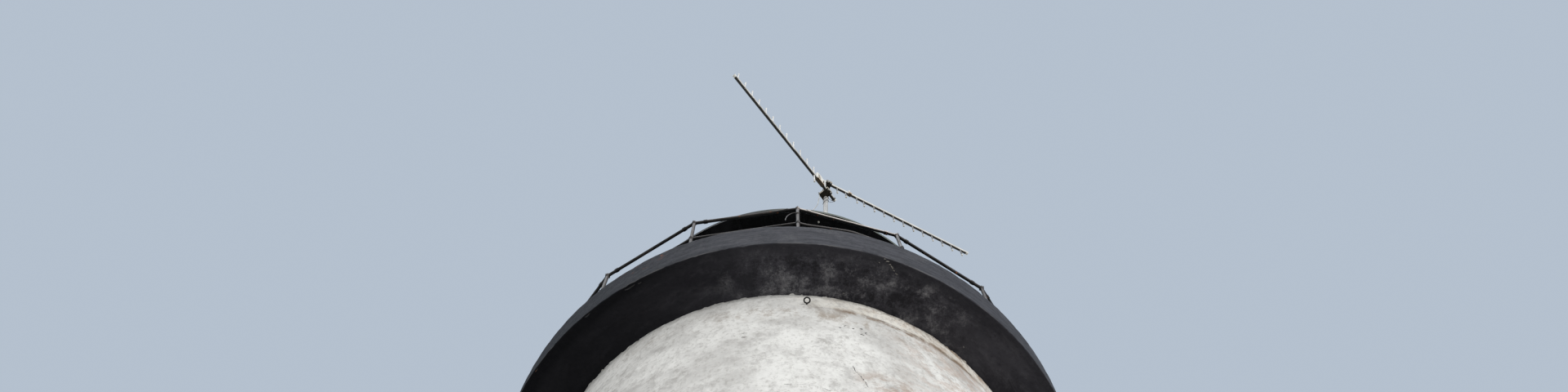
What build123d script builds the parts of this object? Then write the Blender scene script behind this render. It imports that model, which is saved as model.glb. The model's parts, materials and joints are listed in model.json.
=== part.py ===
# A small round masonry lighthouse, from the ground up to the aerials on its lantern roof.
# Millimetres, +Z up. The origin is the middle of the plinth's underside, at ground level.
# The entrance faces -Y, and +X is on its right as one stands in front of the door.
import os
from math import cos, radians, sin, tan

from build123d import *

os.makedirs("parts", exist_ok=True)

# Driving sizes

# Plinth and steps
plinth_radius = 3120
plinth_height = 500
plinth_chamfer = 60
step_width = 1500
step_depth = 300
step_count = 3

# Tower wall
wall_foot_radius = 2980
wall_head_radius = 2400
wall_foot_thickness = 900
wall_head_thickness = 480
wall_head_level = 14200
low_tier_height = 4300
middle_tier_height = 4700

# Doorway
doorway_width = 1000
doorway_height = 2200
door_frame_width = 70
door_frame_depth = 130
door_frame_setback = 260
door_stop_width = 18
door_thickness = 55
door_gap = 3
handle_height = 1050
handle_reach = 55
handle_radius = 11
handle_length = 180

# Windows
window_width = 560
window_height = 900
window_setback = 160
window_frame_width = 55
window_frame_depth = 70
window_glass_thickness = 8
window_sill_height = 80
window_sill_reach = 60
front_window_level = 6500
back_window_level = 7600
side_window_level = 10600

# Gallery
gallery_radius = 2905
gallery_thickness = 556

# Railing
post_count = 16
post_turn = 2
front_bay_count = 4
front_bay_angle = 22.1
post_edge_margin = 115
post_radius = 17
top_rail_height = 1025
lower_rail_height = 500
top_rail_radius = 17
lower_rail_radius = 14
ball_radius = 27
socket_depth = 11
sleeve_radius = 22
sleeve_length = 38
sleeve_place = 118
foot_radius = 62
foot_thickness = 12
# How far the tops of two posts, counted from the left of the front bays, have been pushed outward
post_leans = {1: 17, 3: -48}
# The bay, counted in the same way, whose lower rail is bowed outward, and the bow
bowed_bay = 2
rail_bow = 44
bow_straight = 70
bow_bend_radius = 600

# Lantern
lantern_radius = 1800
lantern_wall_thickness = 90
lantern_wall_height = 1400
lantern_door_width = 700
lantern_door_height = 1250
lantern_door_thickness = 40
sill_height = 80
sill_reach = 45
glass_height = 1784
pane_count = 16
bar_width = 46
bar_depth = 90
pane_thickness = 10
head_height = 120

# Roof: the rim and the dome's foot are measured from the lantern they cover
rim_reach = 322
rim_lap = 70
rim_height = 70
roof_foot_margin = 25
roof_rise = 900
roof_thickness = 24
crown_radius = 260
vent_neck_radius = 190
vent_neck_height = 220
vent_ball_radius = 330
vent_cap_radius = 70
vent_cap_height = 120

# Mast and aerials: the insets run back from the rim's foremost point
mast_foot_x = 447
mast_foot_inset = 221
mast_lean = 1.8
mast_radius = 30
mast_wall = 4
mast_foot_radius = 66
mast_foot_thickness = 12
mast_seat_thickness = 5
mast_socket_height = 160
mast_socket_wall = 8
mast_cap_thickness = 20
# The thinner upper mast stands on the lower clamp, this far from the mast's axis
upper_mast_x = -16
upper_mast_y = -85
upper_mast_radius = 15
upper_mast_seat = 10
left_boom_height = 1331
right_boom_height = 1814
boom_radius = 22
left_boom_reach = 1980
left_boom_tail = 100
left_boom_bearing = 231.9
right_boom_reach = 2104
right_boom_tail = 96
right_boom_bearing = 27.3
rod_radius = 9
left_rod_count = 12
left_rod_first = 332
left_rod_spacing = 143.5
left_rod_rise = 388
left_rod_drop = 24
hub_rod_drop = 350
right_rod_count = 10
right_rod_first = 679
right_rod_spacing = 146.5
right_rods_by_hub = (127, 256, 421, 525)
right_rod_rise = 24
right_rod_drop = 250
clamp_height = 70
clamp_wall = 14
# How far each clamp reaches along its boom, back towards the tail and out towards the tip
left_clamp_back = 2
left_clamp_front = 96
right_clamp_back = 40
right_clamp_front = 40
dipole_radius = 19
dipole_place = 215
dipole_width = 92
dipole_rise = 315
dipole_mount_width = 136
dipole_mount_side = 50
dipole_mount_height = 54
feed_mount_width = 44
feed_mount_place = 318
feed_stub_radius = 11
feed_stub_rise = 175

# Lead of the left aerial, which hangs from its clamp to a gland on the rim
lead_radius = 4
lead_seat = 4
# Where it leaves the left clamp, measured from the mast: across the boom and out along it
lead_across = -37
lead_along = 88
lead_straight = 110
# Its way between the two: x, inset from the rim's foremost point, and height over the rim
lead_route = ((391, 134, 950), (371, 109, 600), (341, 82, 360), (296, 63, 130))
lead_bend_share = 0.45
gland_x = 284
gland_inset = 76
gland_radius = 17
gland_height = 42
gland_depth = 30

# Wall eye
eye_turn = 4
eye_drop = 300
eye_ring_radius = 34
eye_bar_radius = 7
eye_shank_radius = 6
eye_shank_depth = 90
eye_neck = 12

# Clearances
fit = 0.2

# Levels and radii that follow
wall_foot_level = plinth_height
low_tier_top = wall_foot_level + low_tier_height
middle_tier_top = low_tier_top + middle_tier_height
deck_level = wall_head_level + gallery_thickness
sill_level = deck_level + lantern_wall_height
glass_level = sill_level + sill_height
head_level = glass_level + glass_height
rim_level = head_level + head_height
rim_top = rim_level + rim_height
crown_level = rim_top + roof_rise
vent_ball_level = crown_level + vent_neck_height + vent_ball_radius * 0.8
post_ring_radius = gallery_radius - post_edge_margin
rim_radius = lantern_radius + rim_reach
rim_inner_radius = lantern_radius - lantern_wall_thickness - rim_lap
roof_foot_radius = lantern_radius + sill_reach + roof_foot_margin
left_boom_level = rim_top + left_boom_height
right_boom_level = rim_top + right_boom_height

front = 270


def outer_radius(level):
    """Outer radius of the tapering wall at a level."""
    share = (level - wall_foot_level) / (wall_head_level - wall_foot_level)
    return wall_foot_radius + (wall_head_radius - wall_foot_radius) * share


def inner_radius(level):
    """Inner radius of the tapering wall at a level."""
    share = (level - wall_foot_level) / (wall_head_level - wall_foot_level)
    thickness = wall_foot_thickness + (wall_head_thickness - wall_foot_thickness) * share
    return outer_radius(level) - thickness


def facing(bearing, level=0.0):
    """A plane through the tower's axis whose normal points out along a bearing, local Y up."""
    outward = (cos(radians(bearing)), sin(radians(bearing)), 0)
    sideways = (-sin(radians(bearing)), cos(radians(bearing)), 0)
    return Plane(origin=(0, 0, level), x_dir=sideways, z_dir=outward)


eye_level = wall_head_level - eye_drop
eye_plane = facing(front + eye_turn, eye_level).offset(outer_radius(eye_level))


def save(part, label):
    """Label a finished piece and write it."""
    part.label = label
    export_step(part, f"parts/{label}.step")


def wall_ring_sector(low, high, middle_bearing):
    """A quarter of one tier of the wall, centred on a bearing."""
    with BuildPart() as sector:
        with BuildSketch(Plane.XZ.rotated((0, 0, middle_bearing - 45))):
            Polygon(
                (inner_radius(low), low),
                (outer_radius(low), low),
                (outer_radius(high), high),
                (inner_radius(high), high),
                align=None,
            )
        revolve(axis=Axis.Z, revolution_arc=90)
    return sector.part


# Plinth, with the ground floor on it
with BuildPart() as plinth:
    Cylinder(plinth_radius, plinth_height, align=(Align.CENTER, Align.CENTER, Align.MIN))
    chamfer(plinth.edges().filter_by(GeomType.CIRCLE).sort_by(Axis.Z)[-1], plinth_chamfer)
save(plinth.part, "plinth")

# Steps up to the doorway, each a block against the plinth
step_rise = plinth_height / step_count
with BuildPart() as door_steps:
    for number in range(step_count - 1):
        reach = plinth_radius + step_depth * (step_count - 1 - number)
        with BuildSketch(Plane.XY.offset(step_rise * number)):
            with Locations((0, -reach / 2)):
                Rectangle(step_width, reach)
        extrude(amount=step_rise)
    Cylinder(
        plinth_radius,
        plinth_height,
        align=(Align.CENTER, Align.CENTER, Align.MIN),
        mode=Mode.SUBTRACT,
    )
save(door_steps.part, "door_steps")

# Tower wall: three tiers of four sectors, the front of the low tier split round the doorway
tiers = {
    "low": (wall_foot_level, low_tier_top),
    "middle": (low_tier_top, middle_tier_top),
    "top": (middle_tier_top, wall_head_level),
}
sides = {"front": front, "right": 0, "back": 90, "left": 180}
windows = {
    ("middle", "front"): front_window_level,
    ("middle", "back"): back_window_level,
    ("top", "left"): side_window_level,
    ("top", "right"): side_window_level,
}

for tier, (low, high) in tiers.items():
    for side, bearing in sides.items():
        if (tier, side) == ("low", "front"):
            continue
        with BuildPart() as wall_sector:
            add(wall_ring_sector(low, high, bearing))
            if (tier, side) in windows:
                with BuildSketch(facing(bearing, windows[tier, side])):
                    Rectangle(window_width, window_height)
                extrude(amount=wall_foot_radius, mode=Mode.SUBTRACT)
            if (tier, side) == ("top", "front"):
                with BuildSketch(eye_plane.offset(-eye_shank_depth)):
                    Circle(eye_shank_radius + fit)
                extrude(amount=eye_shank_depth * 2, mode=Mode.SUBTRACT)
        save(wall_sector.part, f"wall_{tier}_{side}")

doorway_head = wall_foot_level + doorway_height
jamb_reach = wall_foot_radius
for side, direction in (("left", -1), ("right", 1)):
    with BuildPart() as wall_beside_door:
        add(wall_ring_sector(wall_foot_level, low_tier_top, front))
        with BuildSketch(Plane.XY.offset(wall_foot_level)):
            with Locations((direction * (doorway_width + jamb_reach) / 2, -jamb_reach / 2)):
                Rectangle(jamb_reach, jamb_reach * 2)
        extrude(amount=low_tier_height, mode=Mode.INTERSECT)
    save(wall_beside_door.part, f"wall_low_front_{side}")

with BuildPart() as wall_over_door:
    add(wall_ring_sector(wall_foot_level, low_tier_top, front))
    with BuildSketch(Plane.XY.offset(doorway_head)):
        with Locations((0, -jamb_reach / 2)):
            Rectangle(doorway_width, jamb_reach * 2)
    extrude(amount=low_tier_top - doorway_head, mode=Mode.INTERSECT)
save(wall_over_door.part, "wall_over_door")

# Entrance door: frame with a stop, leaf against the stop, lever handle on the leaf
door_face = outer_radius(doorway_head) - door_frame_setback
frame_plane = facing(front, wall_foot_level + doorway_height / 2)
with BuildPart() as door_frame:
    with BuildSketch(frame_plane.offset(door_face - door_frame_depth)):
        Rectangle(doorway_width, doorway_height)
        with Locations((0, -door_frame_width / 2)):
            Rectangle(
                doorway_width - 2 * door_frame_width,
                doorway_height - door_frame_width,
                mode=Mode.SUBTRACT,
            )
    extrude(amount=door_frame_depth)
    with BuildSketch(frame_plane.offset(door_face - door_frame_depth)):
        with Locations((0, -door_frame_width / 2)):
            Rectangle(
                doorway_width - 2 * door_frame_width,
                doorway_height - door_frame_width,
            )
        with Locations((0, -(door_frame_width + door_stop_width) / 2)):
            Rectangle(
                doorway_width - 2 * (door_frame_width + door_stop_width),
                doorway_height - door_frame_width - door_stop_width,
                mode=Mode.SUBTRACT,
            )
    extrude(amount=door_frame_depth - door_thickness - door_gap)
save(door_frame.part, "door_frame")

door_back = door_face - door_thickness - door_gap
door_width = doorway_width - 2 * (door_frame_width + door_gap)
door_height = doorway_height - door_frame_width - 2 * door_gap
with BuildPart() as door_leaf:
    with BuildSketch(frame_plane.offset(door_back)):
        with Locations((0, -door_frame_width / 2)):
            Rectangle(door_width, door_height)
    extrude(amount=door_thickness)
save(door_leaf.part, "door_leaf")

handle_side = door_width / 2 - 80
with BuildPart() as door_handle:
    handle_plane = facing(front, wall_foot_level + handle_height).offset(door_back + door_thickness)
    with BuildSketch(handle_plane):
        with Locations((handle_side, -handle_length / 2), (handle_side, handle_length / 2)):
            Circle(handle_radius)
    extrude(amount=handle_reach)
    with BuildSketch(Plane.XY.offset(wall_foot_level + handle_height - handle_length / 2 - handle_radius)):
        with Locations((handle_side, -(door_back + door_thickness + handle_reach))):
            Circle(handle_radius)
    extrude(amount=handle_length + 2 * handle_radius)
save(door_handle.part, "door_handle")

# Tower windows: frame, glass and sill of each, the like pieces kept together
with BuildPart() as window_frames:
    for (tier, side), level in windows.items():
        face = outer_radius(level) - window_setback
        with BuildSketch(facing(sides[side], level).offset(face - window_frame_depth)):
            Rectangle(window_width, window_height)
            Rectangle(
                window_width - 2 * window_frame_width,
                window_height - 2 * window_frame_width,
                mode=Mode.SUBTRACT,
            )
        extrude(amount=window_frame_depth)
save(window_frames.part, "window_frames")

with BuildPart() as window_glass:
    for (tier, side), level in windows.items():
        face = outer_radius(level) - window_setback
        middle = face - (window_frame_depth + window_glass_thickness) / 2
        with BuildSketch(facing(sides[side], level).offset(middle)):
            Rectangle(
                window_width - 2 * window_frame_width,
                window_height - 2 * window_frame_width,
            )
        extrude(amount=window_glass_thickness)
save(window_glass.part, "window_glass")

with BuildPart() as window_sills:
    for (tier, side), level in windows.items():
        face = outer_radius(level) - window_setback
        foot = level - window_height / 2
        with BuildSketch(facing(sides[side], foot + window_sill_height / 2).offset(face)):
            Rectangle(window_width, window_sill_height)
        extrude(amount=window_setback + window_sill_reach)
save(window_sills.part, "window_sills")

# Gallery slab, which is the lantern's floor too
with BuildPart() as gallery_slab:
    with BuildSketch(Plane.XY.offset(wall_head_level)):
        Circle(gallery_radius)
    extrude(amount=gallery_thickness)
save(gallery_slab.part, "gallery_slab")

# Railing: posts with a ball where each rail meets them, straight rails, and one bowed lower rail
rear_bay_angle = (360 - front_bay_count * front_bay_angle) / (post_count - front_bay_count)
post_bearings = []
for number in range(post_count):
    front_bays = min(number, front_bay_count)
    rear_bays = number - front_bays
    turn = (front_bays - front_bay_count / 2) * front_bay_angle + rear_bays * rear_bay_angle
    post_bearings.append(front + post_turn + turn)


def post_point(number, height):
    """The point of a post's axis at a height above the deck, with the post's lean."""
    outward = facing(post_bearings[number], 0).z_dir
    lean = post_leans.get(number, 0) * height / top_rail_height
    return outward * (post_ring_radius + lean) + Vector(0, 0, deck_level + height)


rail_start = ball_radius - socket_depth
rail_heights = {top_rail_height: top_rail_radius, lower_rail_height: lower_rail_radius}

with BuildPart() as rail_posts:
    for number in range(post_count):
        foot = post_point(number, 0)
        head = post_point(number, top_rail_height)
        with BuildSketch(Plane(origin=foot)):
            Circle(foot_radius)
        extrude(amount=foot_thickness)
        post_plane = Plane(origin=foot, z_dir=head - foot).offset(foot_thickness / 2)
        with BuildSketch(post_plane):
            Circle(post_radius)
        extrude(amount=(head - foot).length - foot_thickness / 2)
        for height in rail_heights:
            with Locations(post_point(number, height)):
                Sphere(ball_radius)
        for height, radius in rail_heights.items():
            here = post_point(number, height)
            for other in (number - 1, (number + 1) % post_count):
                run = post_point(other, height) - here
                with BuildSketch(Plane(origin=here, z_dir=run).offset(rail_start)):
                    Circle(radius + fit)
                extrude(amount=ball_radius, mode=Mode.SUBTRACT)
save(rail_posts.part, "rail_posts")

with BuildPart() as top_rails:
    for number in range(post_count):
        near = post_point(number, top_rail_height)
        run = post_point((number + 1) % post_count, top_rail_height) - near
        rail_plane = Plane(origin=near, z_dir=run)
        with BuildSketch(rail_plane.offset(rail_start)):
            Circle(top_rail_radius)
        extrude(amount=run.length - 2 * rail_start)
        for middle in (sleeve_place, run.length - sleeve_place):
            with BuildSketch(rail_plane.offset(middle - sleeve_length / 2)):
                Circle(sleeve_radius)
            extrude(amount=sleeve_length)
save(top_rails.part, "top_rails")

with BuildPart() as lower_rails:
    for number in range(post_count):
        near = post_point(number, lower_rail_height)
        far = post_point((number + 1) % post_count, lower_rail_height)
        run = far - near
        along = run.normalized()
        with BuildSketch(Plane(origin=near, z_dir=run).offset(rail_start)):
            Circle(lower_rail_radius)
        if number != bowed_bay:
            extrude(amount=run.length - 2 * rail_start)
            continue
        middle = (near + far) / 2
        outward = Vector(middle.X, middle.Y, 0).normalized()
        with BuildLine():
            FilletPolyline(
                near + along * rail_start,
                near + along * (rail_start + bow_straight),
                middle + outward * rail_bow,
                far - along * (rail_start + bow_straight),
                far - along * rail_start,
                radius=bow_bend_radius,
            )
        sweep()
save(lower_rails.part, "lower_rails")

# Lantern wall with its low door at the back, and the sill ring that the glazing stands on
lantern_back = 90
with BuildPart() as lantern_wall:
    with BuildSketch(Plane.XY.offset(deck_level)):
        Circle(lantern_radius)
        Circle(lantern_radius - lantern_wall_thickness, mode=Mode.SUBTRACT)
    extrude(amount=lantern_wall_height)
    with BuildSketch(facing(lantern_back, deck_level + lantern_door_height / 2)):
        Rectangle(lantern_door_width, lantern_door_height)
    extrude(amount=lantern_radius * 2, mode=Mode.SUBTRACT)
save(lantern_wall.part, "lantern_wall")

with BuildPart() as lantern_door:
    with BuildSketch(facing(lantern_back, deck_level + lantern_door_height / 2)):
        Rectangle(lantern_door_width, lantern_door_height)
    extrude(amount=lantern_radius * 2)
    with BuildSketch(Plane.XY.offset(deck_level)):
        Circle(lantern_radius - (lantern_wall_thickness - lantern_door_thickness) / 2)
        Circle(
            lantern_radius - (lantern_wall_thickness + lantern_door_thickness) / 2,
            mode=Mode.SUBTRACT,
        )
    extrude(amount=lantern_door_height, mode=Mode.INTERSECT)
save(lantern_door.part, "lantern_door")

with BuildPart() as lantern_sill:
    with BuildSketch(Plane.XY.offset(sill_level)):
        Circle(lantern_radius + sill_reach)
        Circle(lantern_radius - lantern_wall_thickness - sill_reach, mode=Mode.SUBTRACT)
    extrude(amount=sill_height)
save(lantern_sill.part, "lantern_sill")

# Glazing: upright bars and flat panes between them
pane_angle = 360 / pane_count
bar_middle = lantern_radius - lantern_wall_thickness / 2
with BuildPart() as glazing_bars:
    with BuildSketch(Plane.XY.offset(glass_level)):
        with PolarLocations(bar_middle, pane_count, start_angle=pane_angle / 2):
            Rectangle(bar_depth, bar_width)
    extrude(amount=glass_height)
save(glazing_bars.part, "glazing_bars")

half_pane = radians(pane_angle / 2)
pane_distance = bar_middle * cos(half_pane)
pane_width = 2 * (pane_distance * sin(half_pane) - bar_width / 2) / cos(half_pane) - 2 * fit
with BuildPart() as lantern_glass:
    with BuildSketch(Plane.XY.offset(glass_level)):
        with PolarLocations(pane_distance + pane_thickness / 2, pane_count):
            Rectangle(pane_thickness, pane_width)
    extrude(amount=glass_height)
save(lantern_glass.part, "lantern_glass")

with BuildPart() as lantern_head:
    with BuildSketch(Plane.XY.offset(head_level)):
        Circle(lantern_radius + sill_reach)
        Circle(lantern_radius - lantern_wall_thickness - sill_reach, mode=Mode.SUBTRACT)
    extrude(amount=head_height)
save(lantern_head.part, "lantern_head")

# Roof: flat rim plate, domed shell and ball ventilator
with BuildPart() as roof_rim:
    with BuildSketch(Plane.XY.offset(rim_level)):
        Circle(rim_radius)
        Circle(rim_inner_radius, mode=Mode.SUBTRACT)
    extrude(amount=rim_height)
save(roof_rim.part, "roof_rim")


def roof_profile(foot_radius, foot, crown):
    """Half section of the dome: an arc from the foot up to the flat crown."""
    bulge = 0.16 * (foot_radius - crown_radius)
    middle_radius = (foot_radius + crown_radius) / 2
    middle_level = (foot + crown) / 2
    ThreePointArc(
        (foot_radius, foot),
        (middle_radius + bulge * 0.5, middle_level + bulge),
        (crown_radius, crown),
    )


with BuildPart() as lantern_roof:
    with BuildSketch(Plane.XZ):
        with BuildLine():
            roof_profile(roof_foot_radius, rim_top, crown_level)
            Line((crown_radius, crown_level), (0, crown_level))
            Line((0, crown_level), (0, rim_top))
            Line((0, rim_top), (roof_foot_radius, rim_top))
        make_face()
    revolve(axis=Axis.Z)
    with BuildSketch(Plane.XZ):
        with BuildLine():
            roof_profile(roof_foot_radius - roof_thickness, rim_top, crown_level - roof_thickness)
            Line((crown_radius, crown_level - roof_thickness), (0, crown_level - roof_thickness))
            Line((0, crown_level - roof_thickness), (0, rim_top))
            Line((0, rim_top), (roof_foot_radius - roof_thickness, rim_top))
        make_face()
    revolve(axis=Axis.Z, mode=Mode.SUBTRACT)
save(lantern_roof.part, "lantern_roof")

with BuildPart() as roof_vent:
    with BuildSketch(Plane.XY.offset(crown_level)):
        Circle(vent_neck_radius)
    extrude(amount=vent_neck_height + vent_ball_radius / 2)
    with Locations((0, 0, vent_ball_level)):
        Sphere(vent_ball_radius)
    with BuildSketch(Plane.XY.offset(vent_ball_level)):
        Circle(vent_cap_radius)
    extrude(amount=vent_ball_radius + vent_cap_height)
save(roof_vent.part, "roof_vent")

# Mast on the roof's rim: foot with a socket, a tube that leans, and a thinner tube in front of its head
mast_foot_point = Vector(mast_foot_x, mast_foot_inset - rim_radius, rim_top)
mast_direction = Vector(sin(radians(mast_lean)), 0, cos(radians(mast_lean)))
mast_plane = Plane(origin=mast_foot_point, x_dir=(0, 1, 0), z_dir=mast_direction)


def mast_point(level):
    """The point of the mast's axis at a level."""
    return mast_foot_point + mast_direction * ((level - rim_top) / mast_direction.Z)


def upper_mast_plane(level):
    """Plane across the upper mast at a level."""
    return Plane(
        origin=mast_point(level) + Vector(upper_mast_x, upper_mast_y, 0),
        x_dir=(0, 1, 0),
        z_dir=mast_direction,
    )


mast_seat = mast_foot_thickness + mast_seat_thickness
mast_length = (mast_point(left_boom_level) - mast_foot_point).length + clamp_height
upper_mast_foot = left_boom_level + clamp_height / 2 - upper_mast_seat
upper_mast_head = right_boom_level - boom_radius - fit

with BuildPart() as mast_foot:
    with BuildSketch(Plane(origin=mast_foot_point)):
        Circle(mast_foot_radius)
    extrude(amount=mast_foot_thickness)
    with BuildSketch(mast_plane.offset(mast_foot_thickness / 2)):
        Circle(mast_radius + fit + mast_socket_wall)
    extrude(amount=mast_socket_height)
    with BuildSketch(mast_plane.offset(mast_seat)):
        Circle(mast_radius + fit)
    extrude(amount=mast_socket_height, mode=Mode.SUBTRACT)
save(mast_foot.part, "mast_foot")

with BuildPart() as mast:
    with BuildSketch(mast_plane.offset(mast_seat)):
        Circle(mast_radius)
    extrude(amount=mast_length - mast_seat)
    with BuildSketch(mast_plane.offset(mast_seat)):
        Circle(mast_radius - mast_wall)
    extrude(amount=mast_length - mast_seat - mast_cap_thickness, mode=Mode.SUBTRACT)
    with BuildSketch(upper_mast_plane(upper_mast_foot + fit)):
        Circle(upper_mast_radius)
    extrude(amount=upper_mast_head - upper_mast_foot - 2 * fit)
save(mast.part, "mast")

# Aerials: each boom passes beside the mast, in a clamp block bored for both


def boom_axis(bearing, level, side, post):
    """Plane at a boom's hub: its normal runs out along the boom and its local X to the side."""
    outward = Vector(cos(radians(bearing)), sin(radians(bearing)), 0)
    sideways = Vector(-sin(radians(bearing)), cos(radians(bearing)), 0)
    offset_by = side * (post + boom_radius + clamp_wall)
    return Plane(origin=mast_point(level) + sideways * offset_by, x_dir=sideways, z_dir=outward)


left_axis = boom_axis(left_boom_bearing, left_boom_level, 1, mast_radius)
right_axis = boom_axis(right_boom_bearing, right_boom_level, -1, mast_radius)
left_rod_places = [left_rod_first + left_rod_spacing * number for number in range(left_rod_count)]
right_rod_places = list(right_rods_by_hub)
for number in range(right_rod_count):
    right_rod_places.append(right_rod_first + right_rod_spacing * number)

with BuildPart() as aerial_booms:
    for axis, tail, reach, places in (
        (left_axis, left_boom_tail, left_boom_reach, left_rod_places),
        (right_axis, right_boom_tail, right_boom_reach, right_rod_places),
    ):
        with BuildSketch(axis.offset(-tail)):
            Circle(boom_radius)
        extrude(amount=tail + reach)
        for place in places:
            with BuildSketch(Plane(origin=axis.origin + axis.z_dir * place)):
                Circle(rod_radius + fit)
            extrude(amount=2 * boom_radius, both=True, mode=Mode.SUBTRACT)
save(aerial_booms.part, "aerial_booms")

with BuildPart() as aerial_rods:
    for axis, places, rise, drop in (
        (left_axis, left_rod_places, left_rod_rise, left_rod_drop),
        (right_axis, right_rod_places, right_rod_rise, right_rod_drop),
    ):
        for place in places:
            hub_rod = axis is left_axis and place == left_rod_first
            below = hub_rod_drop if hub_rod else drop
            foot = axis.origin + axis.z_dir * place - Vector(0, 0, below)
            with BuildSketch(Plane(origin=foot)):
                Circle(rod_radius)
            extrude(amount=rise + below)
save(aerial_rods.part, "aerial_rods")

# Each clamp is a block beside the mast, with the boom through it and a groove for the mast
left_across = (left_axis.origin - mast_point(left_boom_level)).normalized()
lead_entry = (
    mast_point(left_boom_level)
    + left_across * lead_across
    + left_axis.z_dir * lead_along
    - Vector(0, 0, clamp_height / 2)
)
with BuildPart() as boom_clamps:
    for axis, beyond_mast, back, front_reach in (
        (left_axis, mast_radius + clamp_wall, left_clamp_back, left_clamp_front),
        (right_axis, 0, right_clamp_back, right_clamp_front),
    ):
        hub = mast_point(axis.origin.Z)
        across = (axis.origin - hub).normalized()
        near = hub - across * beyond_mast
        far = axis.origin + across * (boom_radius + clamp_wall)
        middle = (near + far) / 2 - axis.z_dir * back
        with BuildSketch(Plane(origin=middle, x_dir=axis.x_dir, z_dir=axis.z_dir)):
            Rectangle((far - near).length, clamp_height)
        extrude(amount=back + front_reach)
        with BuildSketch(axis):
            Circle(boom_radius + fit)
        extrude(amount=back + front_reach, both=True, mode=Mode.SUBTRACT)
    with BuildSketch(mast_plane):
        Circle(mast_radius + fit)
    extrude(amount=mast_length + fit, mode=Mode.SUBTRACT)
    with BuildSketch(upper_mast_plane(upper_mast_foot)):
        Circle(upper_mast_radius + fit)
    extrude(amount=upper_mast_head - upper_mast_foot, mode=Mode.SUBTRACT)
    with BuildSketch(Plane(origin=lead_entry)):
        Circle(lead_radius + fit)
    extrude(amount=lead_seat, mode=Mode.SUBTRACT)
save(boom_clamps.part, "boom_clamps")

# The driven element of each aerial, in a mount on the boom: an upright loop on the left, a stub on the right
dipole_origin = left_axis.origin + left_axis.z_dir * dipole_place
feed_origin = right_axis.origin + right_axis.z_dir * feed_mount_place
mount_half_height = Vector(0, 0, dipole_mount_height / 2)

with BuildPart() as dipole_mounts:
    for axis, place, width in (
        (left_axis, dipole_place, dipole_mount_width),
        (right_axis, feed_mount_place, feed_mount_width),
    ):
        with BuildSketch(axis.offset(place)):
            Rectangle(dipole_mount_side, dipole_mount_height)
            Circle(boom_radius + fit, mode=Mode.SUBTRACT)
        extrude(amount=width / 2, both=True)
save(dipole_mounts.part, "dipole_mounts")

with BuildPart() as dipoles:
    mount_top = dipole_origin + mount_half_height
    half_loop = left_axis.z_dir * (dipole_width / 2)
    loop_rise = Vector(0, 0, dipole_rise) - mount_half_height
    with BuildLine():
        FilletPolyline(
            mount_top - half_loop,
            mount_top - half_loop + loop_rise,
            mount_top + half_loop + loop_rise,
            mount_top + half_loop,
            radius=dipole_width * 0.45,
        )
    with BuildSketch(Plane(origin=mount_top - half_loop)):
        Circle(dipole_radius)
    sweep()
    with BuildSketch(Plane(origin=feed_origin + mount_half_height)):
        Circle(feed_stub_radius)
    extrude(amount=feed_stub_rise - dipole_mount_height / 2)
save(dipoles.part, "dipoles")

# Lead: out of the left clamp, down in a long hang beside the mast and into a gland on the rim
gland_foot = Vector(gland_x, gland_inset - rim_radius, rim_top)
lead_end = gland_foot + Vector(0, 0, gland_height - gland_depth)
lead_points = [lead_entry + Vector(0, 0, lead_seat - fit), lead_entry - Vector(0, 0, lead_straight)]
for x, inset, height in lead_route:
    lead_points.append(Vector(x, inset - rim_radius, rim_top + height))
lead_points.append(gland_foot + Vector(0, 0, lead_route[-1][2] - gland_height))
lead_points.append(lead_end + Vector(0, 0, fit))

lead_bends = []
for before, corner, after in zip(lead_points, lead_points[1:], lead_points[2:]):
    turn = (corner - before).get_angle(after - corner)
    shorter_run = min((corner - before).length, (after - corner).length)
    lead_bends.append(lead_bend_share * shorter_run / tan(radians(turn / 2)))

with BuildPart() as lead_gland:
    with BuildSketch(Plane(origin=gland_foot)):
        Circle(gland_radius)
    extrude(amount=gland_height)
    with BuildSketch(Plane(origin=lead_end)):
        Circle(lead_radius + fit)
    extrude(amount=gland_depth, mode=Mode.SUBTRACT)
save(lead_gland.part, "lead_gland")

with BuildPart() as aerial_lead:
    with BuildLine() as lead_line:
        FilletPolyline(*lead_points, radius=lead_bends)
    with BuildSketch(Plane(origin=lead_points[0], z_dir=lead_points[1] - lead_points[0])):
        Circle(lead_radius)
    sweep()
save(aerial_lead.part, "aerial_lead")

# Iron eye bolt at the head of the wall: a shank let into the wall, and its ring
ring_middle_radius = eye_ring_radius - eye_bar_radius
with BuildPart() as wall_eye:
    with BuildSketch(eye_plane.offset(-eye_shank_depth)):
        Circle(eye_shank_radius)
    extrude(amount=eye_shank_depth + eye_neck + eye_bar_radius)
    ring_reach = eye_neck + eye_ring_radius
    ring_origin = eye_plane.origin + eye_plane.z_dir * ring_reach
    with Locations(Plane(origin=ring_origin)):
        Torus(ring_middle_radius, eye_bar_radius)
save(wall_eye.part, "wall_eye")
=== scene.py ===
import json
import random
from math import asin, atan2, cos, degrees, hypot, pi, radians, sin

import bmesh
import bpy
from bpy.props import FloatProperty, FloatVectorProperty, IntProperty, PointerProperty
from bpy.types import Operator, Panel, PropertyGroup
from mathutils import Matrix, Vector, noise


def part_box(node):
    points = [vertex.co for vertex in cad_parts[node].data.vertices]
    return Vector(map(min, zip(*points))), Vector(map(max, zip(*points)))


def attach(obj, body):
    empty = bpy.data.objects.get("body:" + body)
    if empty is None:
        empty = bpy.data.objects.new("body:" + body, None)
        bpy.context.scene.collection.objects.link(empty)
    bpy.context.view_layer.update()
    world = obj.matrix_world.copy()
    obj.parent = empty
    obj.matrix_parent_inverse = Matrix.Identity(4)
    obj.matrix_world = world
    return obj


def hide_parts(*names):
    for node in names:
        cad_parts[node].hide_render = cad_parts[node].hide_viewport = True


bl_info = {
    "name": "Harbour lighthouse looks",
    "version": (1, 0, 0),
    "blender": (4, 5, 0),
    "location": "3D View > Sidebar > Lighthouse",
    "description": "Finishes and fine pieces of a round masonry lighthouse around its fixed frame",
    "category": "Object",
}

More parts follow.
